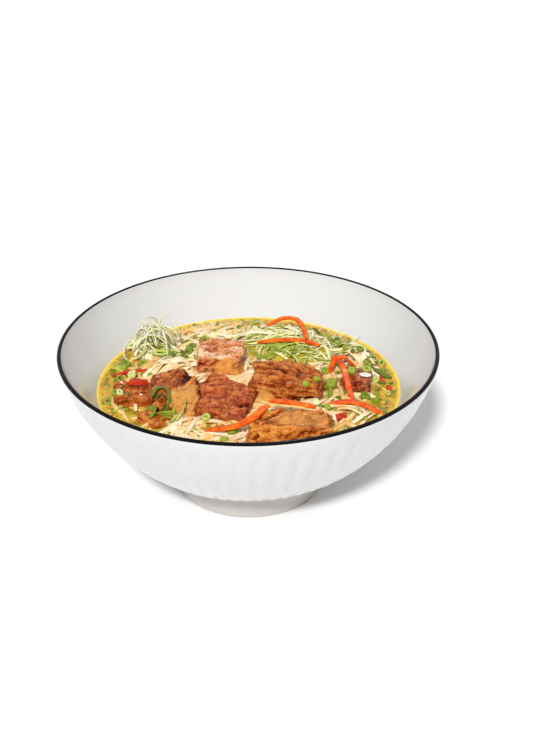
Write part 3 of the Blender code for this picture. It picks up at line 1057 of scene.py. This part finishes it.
@dataclass
class Noodles:
    """Noodles over a mound that is a little smaller than their solid. Sizes in millimetres."""

    relief: Relief
    level: float
    radius: float = 84.0
    thickness: float = 2.8
    count: int = 230

    def build_core(self) -> bpy.types.Object:
        """The mound under the noodles."""
        obj = copy_of_solid("noodle_core", "noodle_bed")
        for vert in obj.data.vertices:
            vert.co.x *= 0.98
            vert.co.y *= 0.98
            vert.co.z -= 1.3 * MM
        write_tints(obj.data, [(0.0, 0.9, 0, 1)] * len(obj.data.vertices))
        shade_smooth(obj, 70)
        finish = NOODLE_FINISH.make()
        return dress(obj, [finish], ["noodle_bed"])

    def build(self) -> list[bpy.types.Object]:
        """Lays the mound, the loose noodles and the flat folded ones.

        Returns:
            The three pieces.
        """
        core = self.build_core()
        bed = Relief()
        bed.add(core)
        loose = self.build_loose(bed)
        folded = self.build_folded()
        return [core, loose, folded]

    def build_loose(self, bed: Relief) -> bpy.types.Object:
        """Round noodles that wander over the mound, partly under the broth."""
        rng = random.Random(5)
        strands = Strands("noodles")
        while len(strands.tints) < self.count * 6 * 31:
            angle, share = rng.uniform(0, 2 * math.pi), math.sqrt(rng.random())
            start = (self.radius * share * math.cos(angle), self.radius * share * math.sin(angle))
            length = rng.uniform(50, 110)
            plan = wander(rng, start, rng.uniform(0, 6.3), length, 30, 0.11)
            if max(math.hypot(*spot) for spot in plan) > self.radius + 2:
                continue
            lift = rng.uniform(-1.0, 1.7)
            phase = rng.uniform(0, 6.3)
            path = []
            for i, (x, y) in enumerate(plan):
                base = bed.height(x * MM, y * MM, (self.level - 1.2) * MM)
                wave = 0.9 * math.sin(phase + i * 0.35)
                path.append(Vector((x * MM, y * MM, base + (lift + wave + 0.6) * MM)))
            path = smoothed(path, 3)
            half = self.thickness / 2 * rng.uniform(0.85, 1.1) * MM
            tint = (rng.uniform(0.25, 1.0), rng.uniform(0, 0.25), 0.0)
            strands.add(path, half * 1.15, half * 0.85, tint, 6)
        return dress(strands.build(), [NOODLE_FINISH.make()])

    def build_folded(self) -> bpy.types.Object:
        """Wide flat noodles, folded into heaps that stand out of the broth."""
        rng = random.Random(11)
        strands = Strands("folded_noodles")
        heaps = (
            # x, y, top, spread, heading, count, half width
            (-46, 15, 77.0, 7, 0.5, 15, 2.5),
            (-36, 19, 75.0, 6, 0.6, 7, 1.8),
            (-28, -2, 72.0, 4, 0.2, 4, 1.8),
            (-34, -60, 69.5, 12, 0.0, 12, 1.6),
            (-8, -66, 68.5, 8, 0.25, 6, 1.6),
            (66, 29, 77.0, 7, -0.95, 18, 1.5),
            (73, 10, 71.0, 5, -1.2, 7, 1.3),
            (53, -36, 71.5, 7, 0.15, 10, 2.3),
            (66, -44, 69.5, 7, 0.3, 6, 1.6),
            (4, 6, 71.0, 6, 0.8, 7, 1.8),
            (-28, 66, 69.0, 12, 0.25, 12, 1.2),
            (48, 52, 69.0, 10, -0.5, 8, 1.1),
            (73, 36, 69.5, 4, -1.1, 14, 1.0),
        )
        for x, y, top, spread, heading, count, half in heaps:
            for _ in range(count):
                start = (x + rng.gauss(0, spread * 0.5), y + rng.gauss(0, spread * 0.35))
                turn = heading + rng.gauss(0, 0.25)
                length = rng.uniform(20, 38)
                start = (start[0] - math.cos(turn) * length / 2,
                         start[1] - math.sin(turn) * length / 2)
                plan = wander(rng, start, turn, length, 16, 0.07)
                if max(math.hypot(*spot) for spot in plan) > self.radius + 3:
                    continue
                peak = rng.uniform(self.level + 0.5, top)
                path = []
                for i, (px, py) in enumerate(plan):
                    arch = math.sin(math.pi * i / 16)
                    rise = (peak - self.level + 1.5) * arch
                    path.append(Vector((px, py, self.level - 1.5 + rise)) * MM)
                tint = (rng.uniform(0.7, 1.0), rng.uniform(0, 0.1), 0.0)
                roll, twist = rng.gauss(0, 0.35), rng.gauss(0, 0.6)
                strands.add(path, half * MM, 0.75 * MM, tint, 8, roll, twist)
        return dress(strands.build(), [NOODLE_FINISH.make()])


def spread(route: Sequence[Vector], steps: int) -> list[Vector]:
    """A smooth path through a few points.

    Args:
        route: The points.
        steps: How many pieces lie between two of them.

    Returns:
        The path.
    """
    points = [2 * route[0] - route[1], *route, 2 * route[-1] - route[-2]]
    path = []
    for before, start, end, after in zip(points, points[1:], points[2:], points[3:]):
        for i in range(steps):
            t = i / steps
            path.append(0.5 * (2 * start + t * (end - before)
                               + t * t * (2 * before - 5 * start + 4 * end - after)
                               + t**3 * (3 * start - before - 3 * end + after)))
    return path + [route[-1].copy()]


def smoothed(path: Sequence[Vector], rounds: int) -> list[Vector]:
    """A path with its heights evened out."""
    heights = [place.z for place in path]
    for _ in range(rounds):
        for i in range(1, len(heights) - 1):
            heights[i] = (heights[i - 1] + 2 * heights[i] + heights[i + 1]) / 4
    return [Vector((place.x, place.y, z)) for place, z in zip(path, heights)]


# ---------------------------------------------------------------- scallion heaps


@dataclass(frozen=True)
class Tuft:
    """Curls that share a place, an upper limit and a colour. Sizes in millimetres."""

    centre: Point
    half: Point
    top: float
    count: int
    widths: tuple[float, ...]
    tints: Point
    rise: float

    def outside(self, place: Vector) -> float:
        """How far a place is outside the tuft: above 0 it has left it."""
        u, v = (place.x - self.centre[0]) / self.half[0], (place.y - self.centre[1]) / self.half[1]
        far = math.hypot(u, v) / 1.1
        room = 70 + (self.top - 70) * math.sqrt(max(0.0, 1 - far**4))
        return max(far - 1, place.z - room, 64 - place.z)

    def curl(self, rng: random.Random) -> list[Vector]:
        """One curl: an arc of its own radius."""
        x, y = in_ellipse(rng, self.centre, self.half, 0)
        place = Vector((x, y, rng.uniform(66, 72)))
        heading = Vector((rng.gauss(0, 1), rng.gauss(0, 0.8), rng.uniform(0.3, 1) * self.rise))
        heading.normalize()
        axis = heading.cross(unit_random(rng)).normalized()
        radius, length = rng.uniform(7, 15), rng.uniform(16, 40)
        path = [place.copy()]
        for _ in range(16):
            heading = Matrix.Rotation(length / 16 / radius, 3, axis) @ heading
            place = place + heading * length / 16
            path.append(place.copy())
        return path


@dataclass
class CurlHeap:
    """Fine curled scallion that stands up at the back left. Sizes in millimetres.

    Attributes:
        hoops: How many long arches stand over the curls.
        hoop_centre, hoop_foot: The middle of the arches, and the height where they start.
        hoop_reach: The most that an arch reaches to each side, and upwards.
        hoop_limit: The most that an arch rises above its start.
        tufts: The groups of curls.
    """

    hoops: int = 26
    hoop_centre: Point = (-60.0, 41.0)
    hoop_foot: float = 65.5
    hoop_reach: Point = (15.0, 27.0)
    hoop_limit: float = 28.0
    tufts: tuple[Tuft, ...] = (
        Tuft((-67, 40), (13, 11), 80, 18, (0.5, 0.8, 1.3), (0.4, 1.0), 1.6),
        Tuft((-55, 45), (14, 10), 88, 12, (0.4, 0.6, 0.9, 1.1), (0.5, 1.0), 3.0),
        Tuft((-61, 38), (9, 7), 85, 6, (0.8, 1.2), (0.02, 0.2), 2.5),
        Tuft((-52, 37), (11, 6), 75, 16, (0.8, 1.2), (0.0, 0.35), 0.6),
    )

    def build(self) -> list[bpy.types.Object]:
        """Models the core and the curls."""
        core = copy_of_solid("curl_core", "scallion_curls")
        low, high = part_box("scallion_curls")
        middle = Vector([(a + b) / 2 for a, b in zip(low, high)])
        for vert in core.data.vertices:
            vert.co.x = middle.x + (vert.co.x - middle.x) * 0.72
            vert.co.y = middle.y + (vert.co.y - middle.y) * 0.70
            vert.co.z = low[2] + (vert.co.z - low[2]) * 0.32
        write_tints(core.data, [(1.0, 0.1, 0, 1)] * len(core.data.vertices))
        core.data.shade_smooth()
        dress(core, [SHRED_FINISH.make()], ["scallion_curls"])
        rng = random.Random(21)
        strands = Strands("curls")
        for tuft in self.tufts:
            made = 0
            while made < tuft.count:
                path = tuft.curl(rng)
                if max(tuft.outside(place) for place in path) > 0:
                    continue
                made += 1
                metres = [place * MM for place in path]
                half, tint = rng.choice(tuft.widths) * MM, rng.uniform(*tuft.tints)
                roll, twist = rng.uniform(0, 3.1), rng.gauss(0, 0.6)
                strands.add(metres, half, 0.16 * MM, (tint, 0.0, 0.0), 4, roll, twist)
        for _ in range(self.hoops):
            half, tint = rng.choice((0.4, 0.6, 0.9)) * MM, rng.uniform(0.45, 1.0)
            roll, twist = rng.uniform(0, 3.1), rng.gauss(0, 1.2)
            strands.add(self.hoop(rng), half, 0.16 * MM, (tint, 0.0, 0.0), 4, roll, twist)
        return [core, dress(strands.build(), [CURL_FINISH.make()])]

    def hoop(self, rng: random.Random) -> list[Vector]:
        """A long thin arch that stands over the heap, in metres."""
        reach, rise = self.hoop_reach
        wide = rng.uniform(0.35, 1.0) * reach
        tall = rng.uniform(0.45, 1.0) * rise * math.sqrt(1.15 - 0.4 * wide / reach)
        x = self.hoop_centre[0] + (reach - wide) * rng.uniform(-1, 1)
        middle = Vector((x, self.hoop_centre[1] + rng.gauss(0, 3.5), self.hoop_foot))
        yaw, lean = rng.gauss(0, 0.5), rng.gauss(0, 3)
        start, end = rng.uniform(0, 0.9), math.pi - rng.uniform(0, 0.9)
        path = []
        for i in range(25):
            angle = start + (end - start) * i / 24
            out, up = wide * math.cos(angle), math.sin(angle)
            back = out * math.sin(yaw) + lean * up
            step = Vector((out * math.cos(yaw), back, min(self.hoop_limit, tall * up)))
            path.append((middle + step) * MM)
        return path


@dataclass
class ShredHeap:
    """Flat shreds that lie crossed over each other at the back. Sizes in millimetres.

    Attributes:
        relief: The heights of what is there, to which the core is added.
        centre, half, turn: The ellipse that they lie in, and its turn in degrees.
        count: How many shreds there are.
    """

    relief: Relief
    centre: Point = (25.0, 44.0)
    half: Point = (33.0, 20.0)
    turn: float = -18.0
    count: int = 190

    def build(self) -> list[bpy.types.Object]:
        """Models the core and the shreds."""
        core = copy_of_solid("shred_core", "scallion_shreds")
        for vert in core.data.vertices:
            vert.co.z -= 1.8 * MM
        write_tints(core.data, [(0.0, 0.75, 0, 1)] * len(core.data.vertices))
        core.data.shade_smooth()
        dress(core, [SHRED_FINISH.make()], ["scallion_shreds"])
        self.relief.add(core)
        rng = random.Random(31)
        strands = Strands("shreds")
        for _ in range(self.count):
            start = in_ellipse(rng, self.centre, self.half, self.turn)
            heading = rng.choice((0.1, -0.5, 0.7, 2.6)) + rng.gauss(0, 0.35)
            plan = wander(rng, start, heading, rng.uniform(12, 28), 12, 0.17)
            lift = rng.uniform(0.2, 3.4)
            phase = rng.uniform(0, 6.3)
            path = []
            for i, (x, y) in enumerate(plan):
                base = self.relief.height(x * MM, y * MM)
                wave = lift + 0.9 * math.sin(phase + 0.5 * i)
                path.append(Vector((x * MM, y * MM, base + wave * MM)))
            path = smoothed(path, 4)
            pale = 0.42 + 0.35 * ease(34, 50, start[1]) + 0.3 * ease(22, 40, start[0])
            pale += rng.uniform(-0.2, 0.3)
            tint = (pale if rng.random() < 0.85 else 0.2 * pale, 0.0, 0.0)
            half = rng.choice((0.35, 0.5, 0.75, 1.05)) * MM
            strands.add(path, half, 0.3 * MM, tint, 6, rng.gauss(0, 0.4), rng.gauss(0, 0.9))
        return [core, dress(strands.build(), [SHRED_FINISH.make()])]


# ---------------------------------------------------------------- peppers


@dataclass
class Pepper:
    """A strip or a corner of red pepper, softened from its solid.

    Attributes:
        node: Its solid.
        finish: Its finish.
        wave: How uneven it is, in millimetres.
        voxel: The size of its faces, in millimetres.
    """

    node: str
    finish: PepperFinish
    wave: float = 0.25
    voxel: float = 0.35

    def build(self) -> bpy.types.Object:
        """Models the piece."""
        obj = copy_of_solid(f"{self.node}_strip", self.node)
        even_out(obj, self.voxel, 0.6, 2)
        for vert in obj.data.vertices:
            shift = noise.noise(vert.co * 160)
            vert.co += vert.normal * shift * self.wave * MM
        obj.data.shade_smooth()
        return dress(obj, [self.finish.make()], [self.node])


ORANGE_PEPPER = PepperFinish("pepper_orange", (0.66, 0.058, 0.002), (0.88, 0.185, 0.006))
RED_PEPPER = PepperFinish("pepper_red", (0.68, 0.045, 0.004), (0.88, 0.14, 0.008))
DEEP_PEPPER = PepperFinish("pepper_deep", (0.42, 0.015, 0.004), (0.66, 0.05, 0.010))
PEPPERS = (
    Pepper("pepper_back", ORANGE_PEPPER),
    Pepper("pepper_arch", ORANGE_PEPPER),
    Pepper("pepper_right", RED_PEPPER),
    Pepper("pepper_cross", RED_PEPPER),
    Pepper("pepper_front_right", RED_PEPPER),
    Pepper("pepper_front", ORANGE_PEPPER),
    Pepper("pepper_middle", ORANGE_PEPPER),
    Pepper("pepper_left", DEEP_PEPPER),
    Pepper("pepper_short", DEEP_PEPPER),
    Pepper("pepper_wedge_left", DEEP_PEPPER, 0.15),
    Pepper("pepper_wedge_front", DEEP_PEPPER, 0.15),
)


# ---------------------------------------------------------------- small toppings


@dataclass
class Toppings:
    """Rings, leaves, oil and flakes, laid on all that is in the bowl. Sizes in millimetres.

    Attributes:
        relief: The heights of what is there.
        level: The height of the broth.
        reach: How far from the middle they go.
        small_leaves, drops, flakes: How many there are of each.
        ring_places: Where the small rings and leaves lie.
        loops: Leaves that curl up from what is there.
        large_rings: Rings that are placed one by one.
    """

    relief: Relief
    level: float
    reach: float = 87.5
    small_leaves: int = 230
    drops: int = 330
    flakes: int = 170
    # centre x, centre y, spread x, spread y, how many, least and most green (0 dark, 1 white)
    ring_places: tuple[tuple[float, float, float, float, int, float, float], ...] = (
        (77, 22, 7, 12, 16, 0.05, 0.60),
        (69, 34, 8, 8, 12, 0.05, 0.45),
        (52, 55, 10, 7, 12, 0.1, 0.7),
        (-10, 72, 16, 6, 12, 0.2, 0.8),
        (-28, 56, 8, 6, 7, 0.1, 0.6),
        (-78, 18, 5, 8, 7, 0.1, 0.7),
        (-70, 8, 7, 4, 5, 0.2, 0.8),
        (-80, -26, 5, 9, 7, 0.2, 0.8),
        (-46, -58, 12, 6, 9, 0.3, 0.9),
        (-10, -56, 12, 4, 7, 0.3, 0.9),
        (50, -22, 6, 8, 8, 0.2, 0.6),
        (58, -2, 4, 6, 5, 0.2, 0.6),
        (80, -8, 5, 12, 9, 0.1, 0.7),
        (74, -34, 8, 7, 8, 0.1, 0.7),
        (60, -52, 9, 5, 7, 0.3, 0.9),
        (44, -34, 6, 5, 5, 0.3, 0.9),
        (14, 22, 10, 6, 6, 0.1, 0.6),
        (-40, 30, 8, 5, 6, 0.1, 0.6),
    )

    # half width, green, route
    loops: tuple[tuple[float, float, tuple[tuple[float, float, float], ...]], ...] = (
        (1.9, 0.22, ((-57, -31, 76), (-54, -27, 79.5), (-49.5, -26, 80), (-46, -29, 78),
                     (-45.5, -34, 75), (-47, -38, 72), (-50, -41, 70))),
        (1.6, 0.05, ((-55, -33, 75), (-52, -30, 77), (-49, -31, 76.5), (-48, -35, 73.5),
                     (-50, -39, 70.5))),
        (1.2, 0.45, ((-58, -40, 69.5), (-54, -41, 71), (-50, -43, 71), (-45, -43, 69.5))),
        (1.0, 0.60, ((-52, -45, 68.5), (-48, -44, 70), (-44, -46, 70), (-41, -49, 68.5))),
    )
    # x, y, radius, green
    large_rings: tuple[tuple[float, float, float, float], ...] = (
        (47, 11, 2.9, 0.45), (50.5, -3, 3.2, 0.62), (50, -8, 3.0, 0.5), (70, -15, 3.1, 0.30),
        (81, 15, 2.9, 0.35), (77, 33, 2.8, 0.40), (50, 49, 3.0, 0.40), (46, 53, 2.7, 0.5),
        (-79, 6, 2.8, 0.35), (-71.5, 7.5, 2.7, 0.85), (-66, 25, 3.1, 0.42), (-78, 21, 2.8, 0.45),
        (4, 84, 2.7, 0.45), (-9, -61, 3.0, 0.45), (-24, -48, 2.8, 0.72), (-40, 53, 3.1, 0.35),
        (-37, 48, 2.9, 0.30), (34, -22, 2.5, 0.5), (40, -27, 2.3, 0.9), (-13, -66, 2.6, 0.5),
        (57, -40, 2.5, 0.6), (76, -20, 2.8, 0.35), (83, -2, 2.8, 0.5), (-78, -23, 2.8, 0.4),
    )

    def ground(self, x: float, y: float) -> float:
        """The height of what is at a place, in metres, and at least the broth's."""
        return self.relief.height(x * MM, y * MM, self.level * MM)

    def on_top(self, x: float, y: float, lift: float) -> Vector:
        """A place on what is there, in metres, raised by some millimetres."""
        return Vector((x * MM, y * MM, self.ground(x, y) + lift * MM))

    def near(self, rng: random.Random, x: float, y: float, dx: float, dy: float) -> Point:
        """A random place near another, kept off the wall."""
        spot = Vector((rng.gauss(x, dx), rng.gauss(y, dy)))
        if spot.length > self.reach:
            spot *= rng.uniform(0.93, 1.0) * self.reach / spot.length
        return spot.x, spot.y

    def build(self) -> None:
        """Lays every kind of topping."""
        self.build_drops()
        self.build_rings()
        self.build_leaves()
        self.build_flakes()
        self.build_onion()
        self.build_wisps_and_painted_glints()

    def build_rings(self) -> bpy.types.Object:
        """Cut scallion rings."""
        bpy.ops.mesh.primitive_cylinder_add(
            vertices=14, radius=1.0, depth=1.0, end_fill_type="NOTHING", location=(0, 0, 0)
        )
        ring = bpy.context.active_object
        make_active(ring)
        wall = ring.modifiers.new("Wall", "SOLIDIFY")
        wall.thickness = 0.5
        wall.offset = -1
        round_off = ring.modifiers.new("Soft", "BEVEL")
        round_off.width = 0.1
        round_off.segments = 1
        apply_modifiers(ring)
        scatter = Scatter("scallion_rings", ring)
        rng = random.Random(41)
        for x, y, size, green in self.large_rings:
            scale = (size * MM, size * 0.9 * MM, 3.0 * MM)
            place = placed(rng, self.on_top(x, y, 0.9), scale, 35)
            scatter.add(place, (green, 0.0, 0.0))
        for x, y, dx, dy, count, dark, pale in self.ring_places:
            for _ in range(round(count * 0.38)):
                px, py = self.near(rng, x, y, dx * 0.8, dy * 0.8)
                size = rng.uniform(1.7, 3.1)
                tall = rng.uniform(1.2, 2.8)
                scale = (size * MM, size * rng.uniform(0.65, 1.0) * MM, tall * MM)
                tint = (min(1.0, rng.uniform(dark, pale) + 0.1), 0.0, 0.0)
                scatter.add(placed(rng, self.on_top(px, py, 0.35 * tall), scale, 40), tint)
        return dress(scatter.build(), [GREEN_FINISH.make()])

    def build_leaves(self) -> bpy.types.Object:
        """Green leaves: small lobed ones, and wide curled strips of scallion."""
        rng = random.Random(51)
        strands = Strands("leaves")
        curled = (
            # x, y, length, half width, heading, bend, tint, lift
            (-51, -39, 16, 2.2, 0.6, 0.18, 0.35, 2.0),
            (-47, -43, 12, 1.6, -0.4, 0.12, 0.55, 1.5),
            (-36, -41, 21, 1.3, 1.0, 0.05, 0.72, 3.0),
            (-42, -47, 12, 1.2, 0.3, 0.10, 0.80, 1.5),
            (-40, 31, 13, 1.7, 0.2, 0.1, 0.22, 1.5),
            (-49, 27, 13, 1.6, 0.1, 0.1, 0.28, 1.5),
            (-36, 38, 10, 2.4, 0.9, 0.1, 0.30, 2.0),
            (50, 44, 16, 2.2, -0.5, 0.12, 0.25, 2.0),
            (58, 40, 14, 2.0, 0.3, -0.1, 0.20, 2.0),
            (44, 52, 12, 2.0, 0.0, 0.1, 0.30, 2.0),
            (80, 6, 13, 1.3, -1.1, 0.12, 0.20, 2.2),
            (76, 14, 12, 1.2, 0.7, -0.1, 0.25, 2.4),
            (82, -2, 11, 1.2, -0.8, 0.1, 0.18, 1.8),
            (51, -6, 11, 2.2, 1.3, 0.1, 0.45, 2.0),
            (49, -14, 10, 2.0, 1.5, 0.1, 0.40, 2.0),
            (66, -26, 10, 1.8, 0.5, 0.1, 0.30, 1.5),
            (14, 26, 12, 1.8, 0.2, 0.1, 0.40, 1.5),
            (28, 24, 12, 1.8, 0.4, 0.1, 0.35, 1.5),
        )
        for x, y, length, half, heading, bend, shade, lift in curled:
            steps = 14
            place = Vector((x - math.cos(heading) * length / 2,
                            y - math.sin(heading) * length / 2))
            path = []
            for i in range(steps + 1):
                path.append(self.on_top(*place, 0.6 + lift * math.sin(math.pi * i / steps)))
                place += Vector((math.cos(heading), math.sin(heading))) * length / steps
                heading += bend
            path, tint = smoothed(path, 3), (shade, 0.0, 0.0)
            roll, twist = rng.gauss(0, 0.5), rng.gauss(0, 1.2)
            strands.add(path, half * MM, 0.35 * MM, tint, 8, roll, twist, 0.2)
        for half, shade, route in self.loops:
            path = spread([Vector(place) * MM for place in route], 5)
            strands.add(path, half * MM, 0.35 * MM, (shade, 0.0, 0.0), 8, 0.3, 0.8, 0.3)
        for _ in range(self.small_leaves):
            x, y, dx, dy, _, dark, pale = rng.choice(self.ring_places)
            px, py = self.near(rng, x, y, dx, dy)
            turn = rng.uniform(0, 6.3)
            length = rng.uniform(2.0, 5.5)
            ground = self.ground(px, py)
            path = []
            for i in range(5):
                along = (i / 4 - 0.5) * length
                spot = Vector((px + math.cos(turn) * along, py + math.sin(turn) * along))
                top = ground + (0.6 + 0.3 * math.sin(i)) * MM
                path.append(Vector((spot.x * MM, spot.y * MM, top)))
            tint = (rng.uniform(dark * 0.6, pale * 0.8), 0.0, 0.0)
            half, roll = rng.uniform(0.4, 1.5) * MM, rng.gauss(0, 0.5)
            strands.add(path, half, 0.25 * MM, tint, 6, roll, 0.4, 0.1)
        return dress(strands.build(), [GREEN_FINISH.make()])

    def build_drops(self) -> bpy.types.Object:
        """Flat drops of oil on the broth."""
        bpy.ops.mesh.primitive_uv_sphere_add(
            segments=14, ring_count=6, radius=1.0, location=(0, 0, 0)
        )
        drop = bpy.context.active_object
        wanted = self.drops * len(drop.data.vertices)
        scatter = Scatter("oil_drops", drop)
        rng = random.Random(61)
        while len(scatter.tints) < wanted:
            angle = rng.uniform(0, 2 * math.pi)
            far = (90 * math.sqrt(rng.uniform(0.25, 1.0)) if rng.random() < 0.6
                   else rng.uniform(80, 90))
            x, y = far * math.cos(angle), far * math.sin(angle)
            if self.ground(x, y) > (self.level + 0.8) * MM:
                continue
            size = rng.uniform(0.5, 1.5) if rng.random() < 0.85 else rng.uniform(1.5, 3.2)
            place = placed(rng, self.on_top(x, y, 0), (size * MM, size * MM, 0.16 * MM), 0)
            scatter.add(place, (rng.random(), 0.0, 0.0))
        return dress(scatter.build(), [OIL_FINISH.make()])

    def build_flakes(self) -> bpy.types.Object:
        """Small flakes of chilli and crumbs of meat."""
        bpy.ops.mesh.primitive_ico_sphere_add(subdivisions=1, radius=1.0, location=(0, 0, 0))
        scatter = Scatter("chilli_flakes", bpy.context.active_object)
        rng = random.Random(71)
        for _ in range(self.flakes):
            angle, far = rng.uniform(0, 2 * math.pi), 88 * math.sqrt(rng.random())
            x, y = far * math.cos(angle), far * math.sin(angle)
            size = rng.uniform(0.35, 1.0)
            scale = (size * MM, size * rng.uniform(0.4, 1) * MM, 0.35 * size * MM)
            place = placed(rng, self.on_top(x, y, 0.1), scale, 20)
            scatter.add(place, (rng.random(), 0.0, 0.0))
        return dress(scatter.build(), [CHILLI.make()])

    def build_onion(self) -> bpy.types.Object:
        """White pieces of onion: slices and rings."""
        bpy.ops.mesh.primitive_torus_add(
            major_radius=1.0, minor_radius=0.3, major_segments=18, minor_segments=8,
            location=(0, 0, 0),
        )
        scatter = Scatter("onion", bpy.context.active_object)
        rng = random.Random(81)
        for x, y, size, squash in ((70.5, -3, 2.9, 0.7), (60, 22, 3.2, 0.8), (45, -32, 2.2, 0.6)):
            scale = (size * MM, size * squash * MM, 2.2 * MM)
            place = placed(rng, self.on_top(x, y, 0.8), scale, 25)
            scatter.add(place, (rng.uniform(0.5, 1.0), 0.0, 0.0))
        return dress(scatter.build(), [ONION.make()])

    def build_wisps_and_painted_glints(self) -> bpy.types.Object:
        """Single fine white threads over the greens and the meat, and two painted waterline
        highlights.
        """
        rng = random.Random(91)
        strands = Strands("wisps_and_painted_glints")
        places = ((52, 58, 22, 0.9), (58, 52, 18, 0.6), (64, 46, 20, 1.1), (47, 62, 16, 0.3),
                  (-8, 60, 20, 0.1), (4, 62, 18, 0.2), (-2, 36, 16, -1.4))
        for x, y, length, heading in places:
            for _ in range(2):
                start = (x + rng.gauss(0, 2), y + rng.gauss(0, 2))
                plan = wander(rng, start, heading + rng.gauss(0, 0.3), length, 14, 0.12)
                lift = rng.uniform(1.5, 7) if y > 40 else rng.uniform(0.5, 1.5)
                path = []
                for i, (px, py) in enumerate(plan):
                    if math.hypot(px, py) > 90:
                        break
                    rise = 0.5 + lift * math.sin(math.pi * i / 14)
                    path.append(self.on_top(px, py, rise))
                if len(path) > 3:
                    tint = (rng.uniform(0.3, 0.8), 0.0, 0.0)
                    strands.add(smoothed(path, 4), 0.19 * MM, 0.12 * MM, tint, 5)
        # Painted highlights: two pale lines at the broth's level, in front of two chunks of meat,
        # stand for the broth's glint along the waterline.
        for line in (((-23, -45.5), (-18, -49.5), (-12, -51), (-6, -50.3), (-2, -47.5)),
                     ((-81, -21), (-77, -25), (-71, -26.5), (-65, -25.5), (-60, -23))):
            path = [Vector((x * MM, y * MM, self.level * MM + 0.5 * MM)) for x, y in line]
            strands.add(path, 0.3 * MM, 0.25 * MM, (0.9, 0.0, 0.0), 6)
        return dress(strands.build(), [WISP_AND_PAINTED_GLINT_FINISH.make()])


# ---------------------------------------------------------------- stage


@dataclass
class Stage:
    """The floor, the lights and the camera.

    Attributes:
        target, distance, elevation, lens: The camera's aim, in metres, degrees and millimetres.
        floor_size, floor_level: The floor, in metres.
        wall_radius, wall_height: The white wall round it, in metres.
        sky: The strength of the even light from all round.
        sun_from, sun_strength, sun_softness: The main light; its softness is in degrees.
        window_from, window_size, window_power: The small lamp that glints.
    """

    target: tuple[float, float, float] = (0.010845, 0.0, 0.071564)
    distance: float = 0.85
    elevation: float = 28.87
    lens: float = 66.7
    floor_size: float = 30.0
    floor_level: float = -0.0002
    wall_radius: float = 14.0
    wall_height: float = 8.0
    sky: float = 0.52
    sun_from: tuple[float, float, float] = (-0.17, -1.0, 0.90)
    sun_strength: float = 3.1
    sun_softness: float = 6.0
    window_from: tuple[float, float, float] = (0.10, 0.42, 0.95)
    window_size: float = 0.08
    window_power: float = 2.2

    def build(self) -> None:
        """Sets the stage."""
        scene = bpy.context.scene
        bpy.ops.mesh.primitive_plane_add(size=self.floor_size, location=(0, 0, self.floor_level))
        floor = bpy.context.active_object
        floor.name = "floor"
        floor.data.materials.append(FLOOR.make())
        self.add_backdrop()
        world = bpy.data.worlds.new("studio")
        world.use_nodes = True
        background = world.node_tree.nodes["Background"]
        background.inputs["Color"].default_value = (1, 1, 1, 1)
        background.inputs["Strength"].default_value = self.sky
        scene.world = world
        self.add_sun()
        self.add_window()
        tilt = math.radians(self.elevation)
        place = Vector(self.target) - self.distance * Vector((0, math.cos(tilt), -math.sin(tilt)))
        bpy.ops.object.camera_add(location=place, rotation=(math.pi / 2 - tilt, 0, 0))
        camera = bpy.context.active_object
        camera.data.lens = self.lens
        camera.data.sensor_width = 36
        scene.camera = camera
        scene.view_settings.view_transform = "Standard"

    def add_backdrop(self) -> None:
        """Adds a far white wall all round, which lights nothing."""
        bpy.ops.mesh.primitive_cylinder_add(
            vertices=64, radius=self.wall_radius, depth=self.wall_height,
            end_fill_type="NOTHING", location=(0, 0, self.wall_height / 2),
        )
        wall = bpy.context.active_object
        wall.name = "backdrop"
        wall.data.materials.append(BACKDROP.make())
        wall.visible_diffuse = wall.visible_glossy = wall.visible_shadow = False

    @staticmethod
    def add_light(kind: str, source: Sequence[float], power: float) -> bpy.types.Object:
        """Adds a light that shines from a place towards the bowl."""
        bpy.ops.object.light_add(type=kind, location=source)
        light = bpy.context.active_object
        light.rotation_euler = Vector(source).to_track_quat("Z", "Y").to_euler()
        light.data.energy = power
        return light

    def add_sun(self) -> None:
        """Adds the main light, which makes no glints."""
        sun = self.add_light("SUN", self.sun_from, self.sun_strength)
        sun.data.angle = math.radians(self.sun_softness)
        sun.visible_glossy = False

    def add_window(self) -> None:
        """Adds a small lamp that only makes glints, on whatever is glossy."""
        lamp = self.add_light("AREA", self.window_from, self.window_power)
        lamp.data.size = self.window_size
        lamp.visible_diffuse = False


def main() -> None:
    """Builds the soup from the bowl upwards."""
    logging.basicConfig(level=logging.INFO, format="%(name)s: %(message)s")
    deselect_all()
    relief = Relief()
    bowl = Bowl()
    bowl.build()
    Broth(bowl).build(relief)
    for chunk in CHUNKS:
        chunk.build(relief)
    for heap in (Noodles(relief, bowl.broth_level), CurlHeap(), ShredHeap(relief)):
        for piece in heap.build():
            relief.add(piece)
    for pepper in PEPPERS:
        pepper.build()
    Toppings(relief, bowl.broth_level).build()
    Stage().build()


if __name__ == "__main__":
    main()
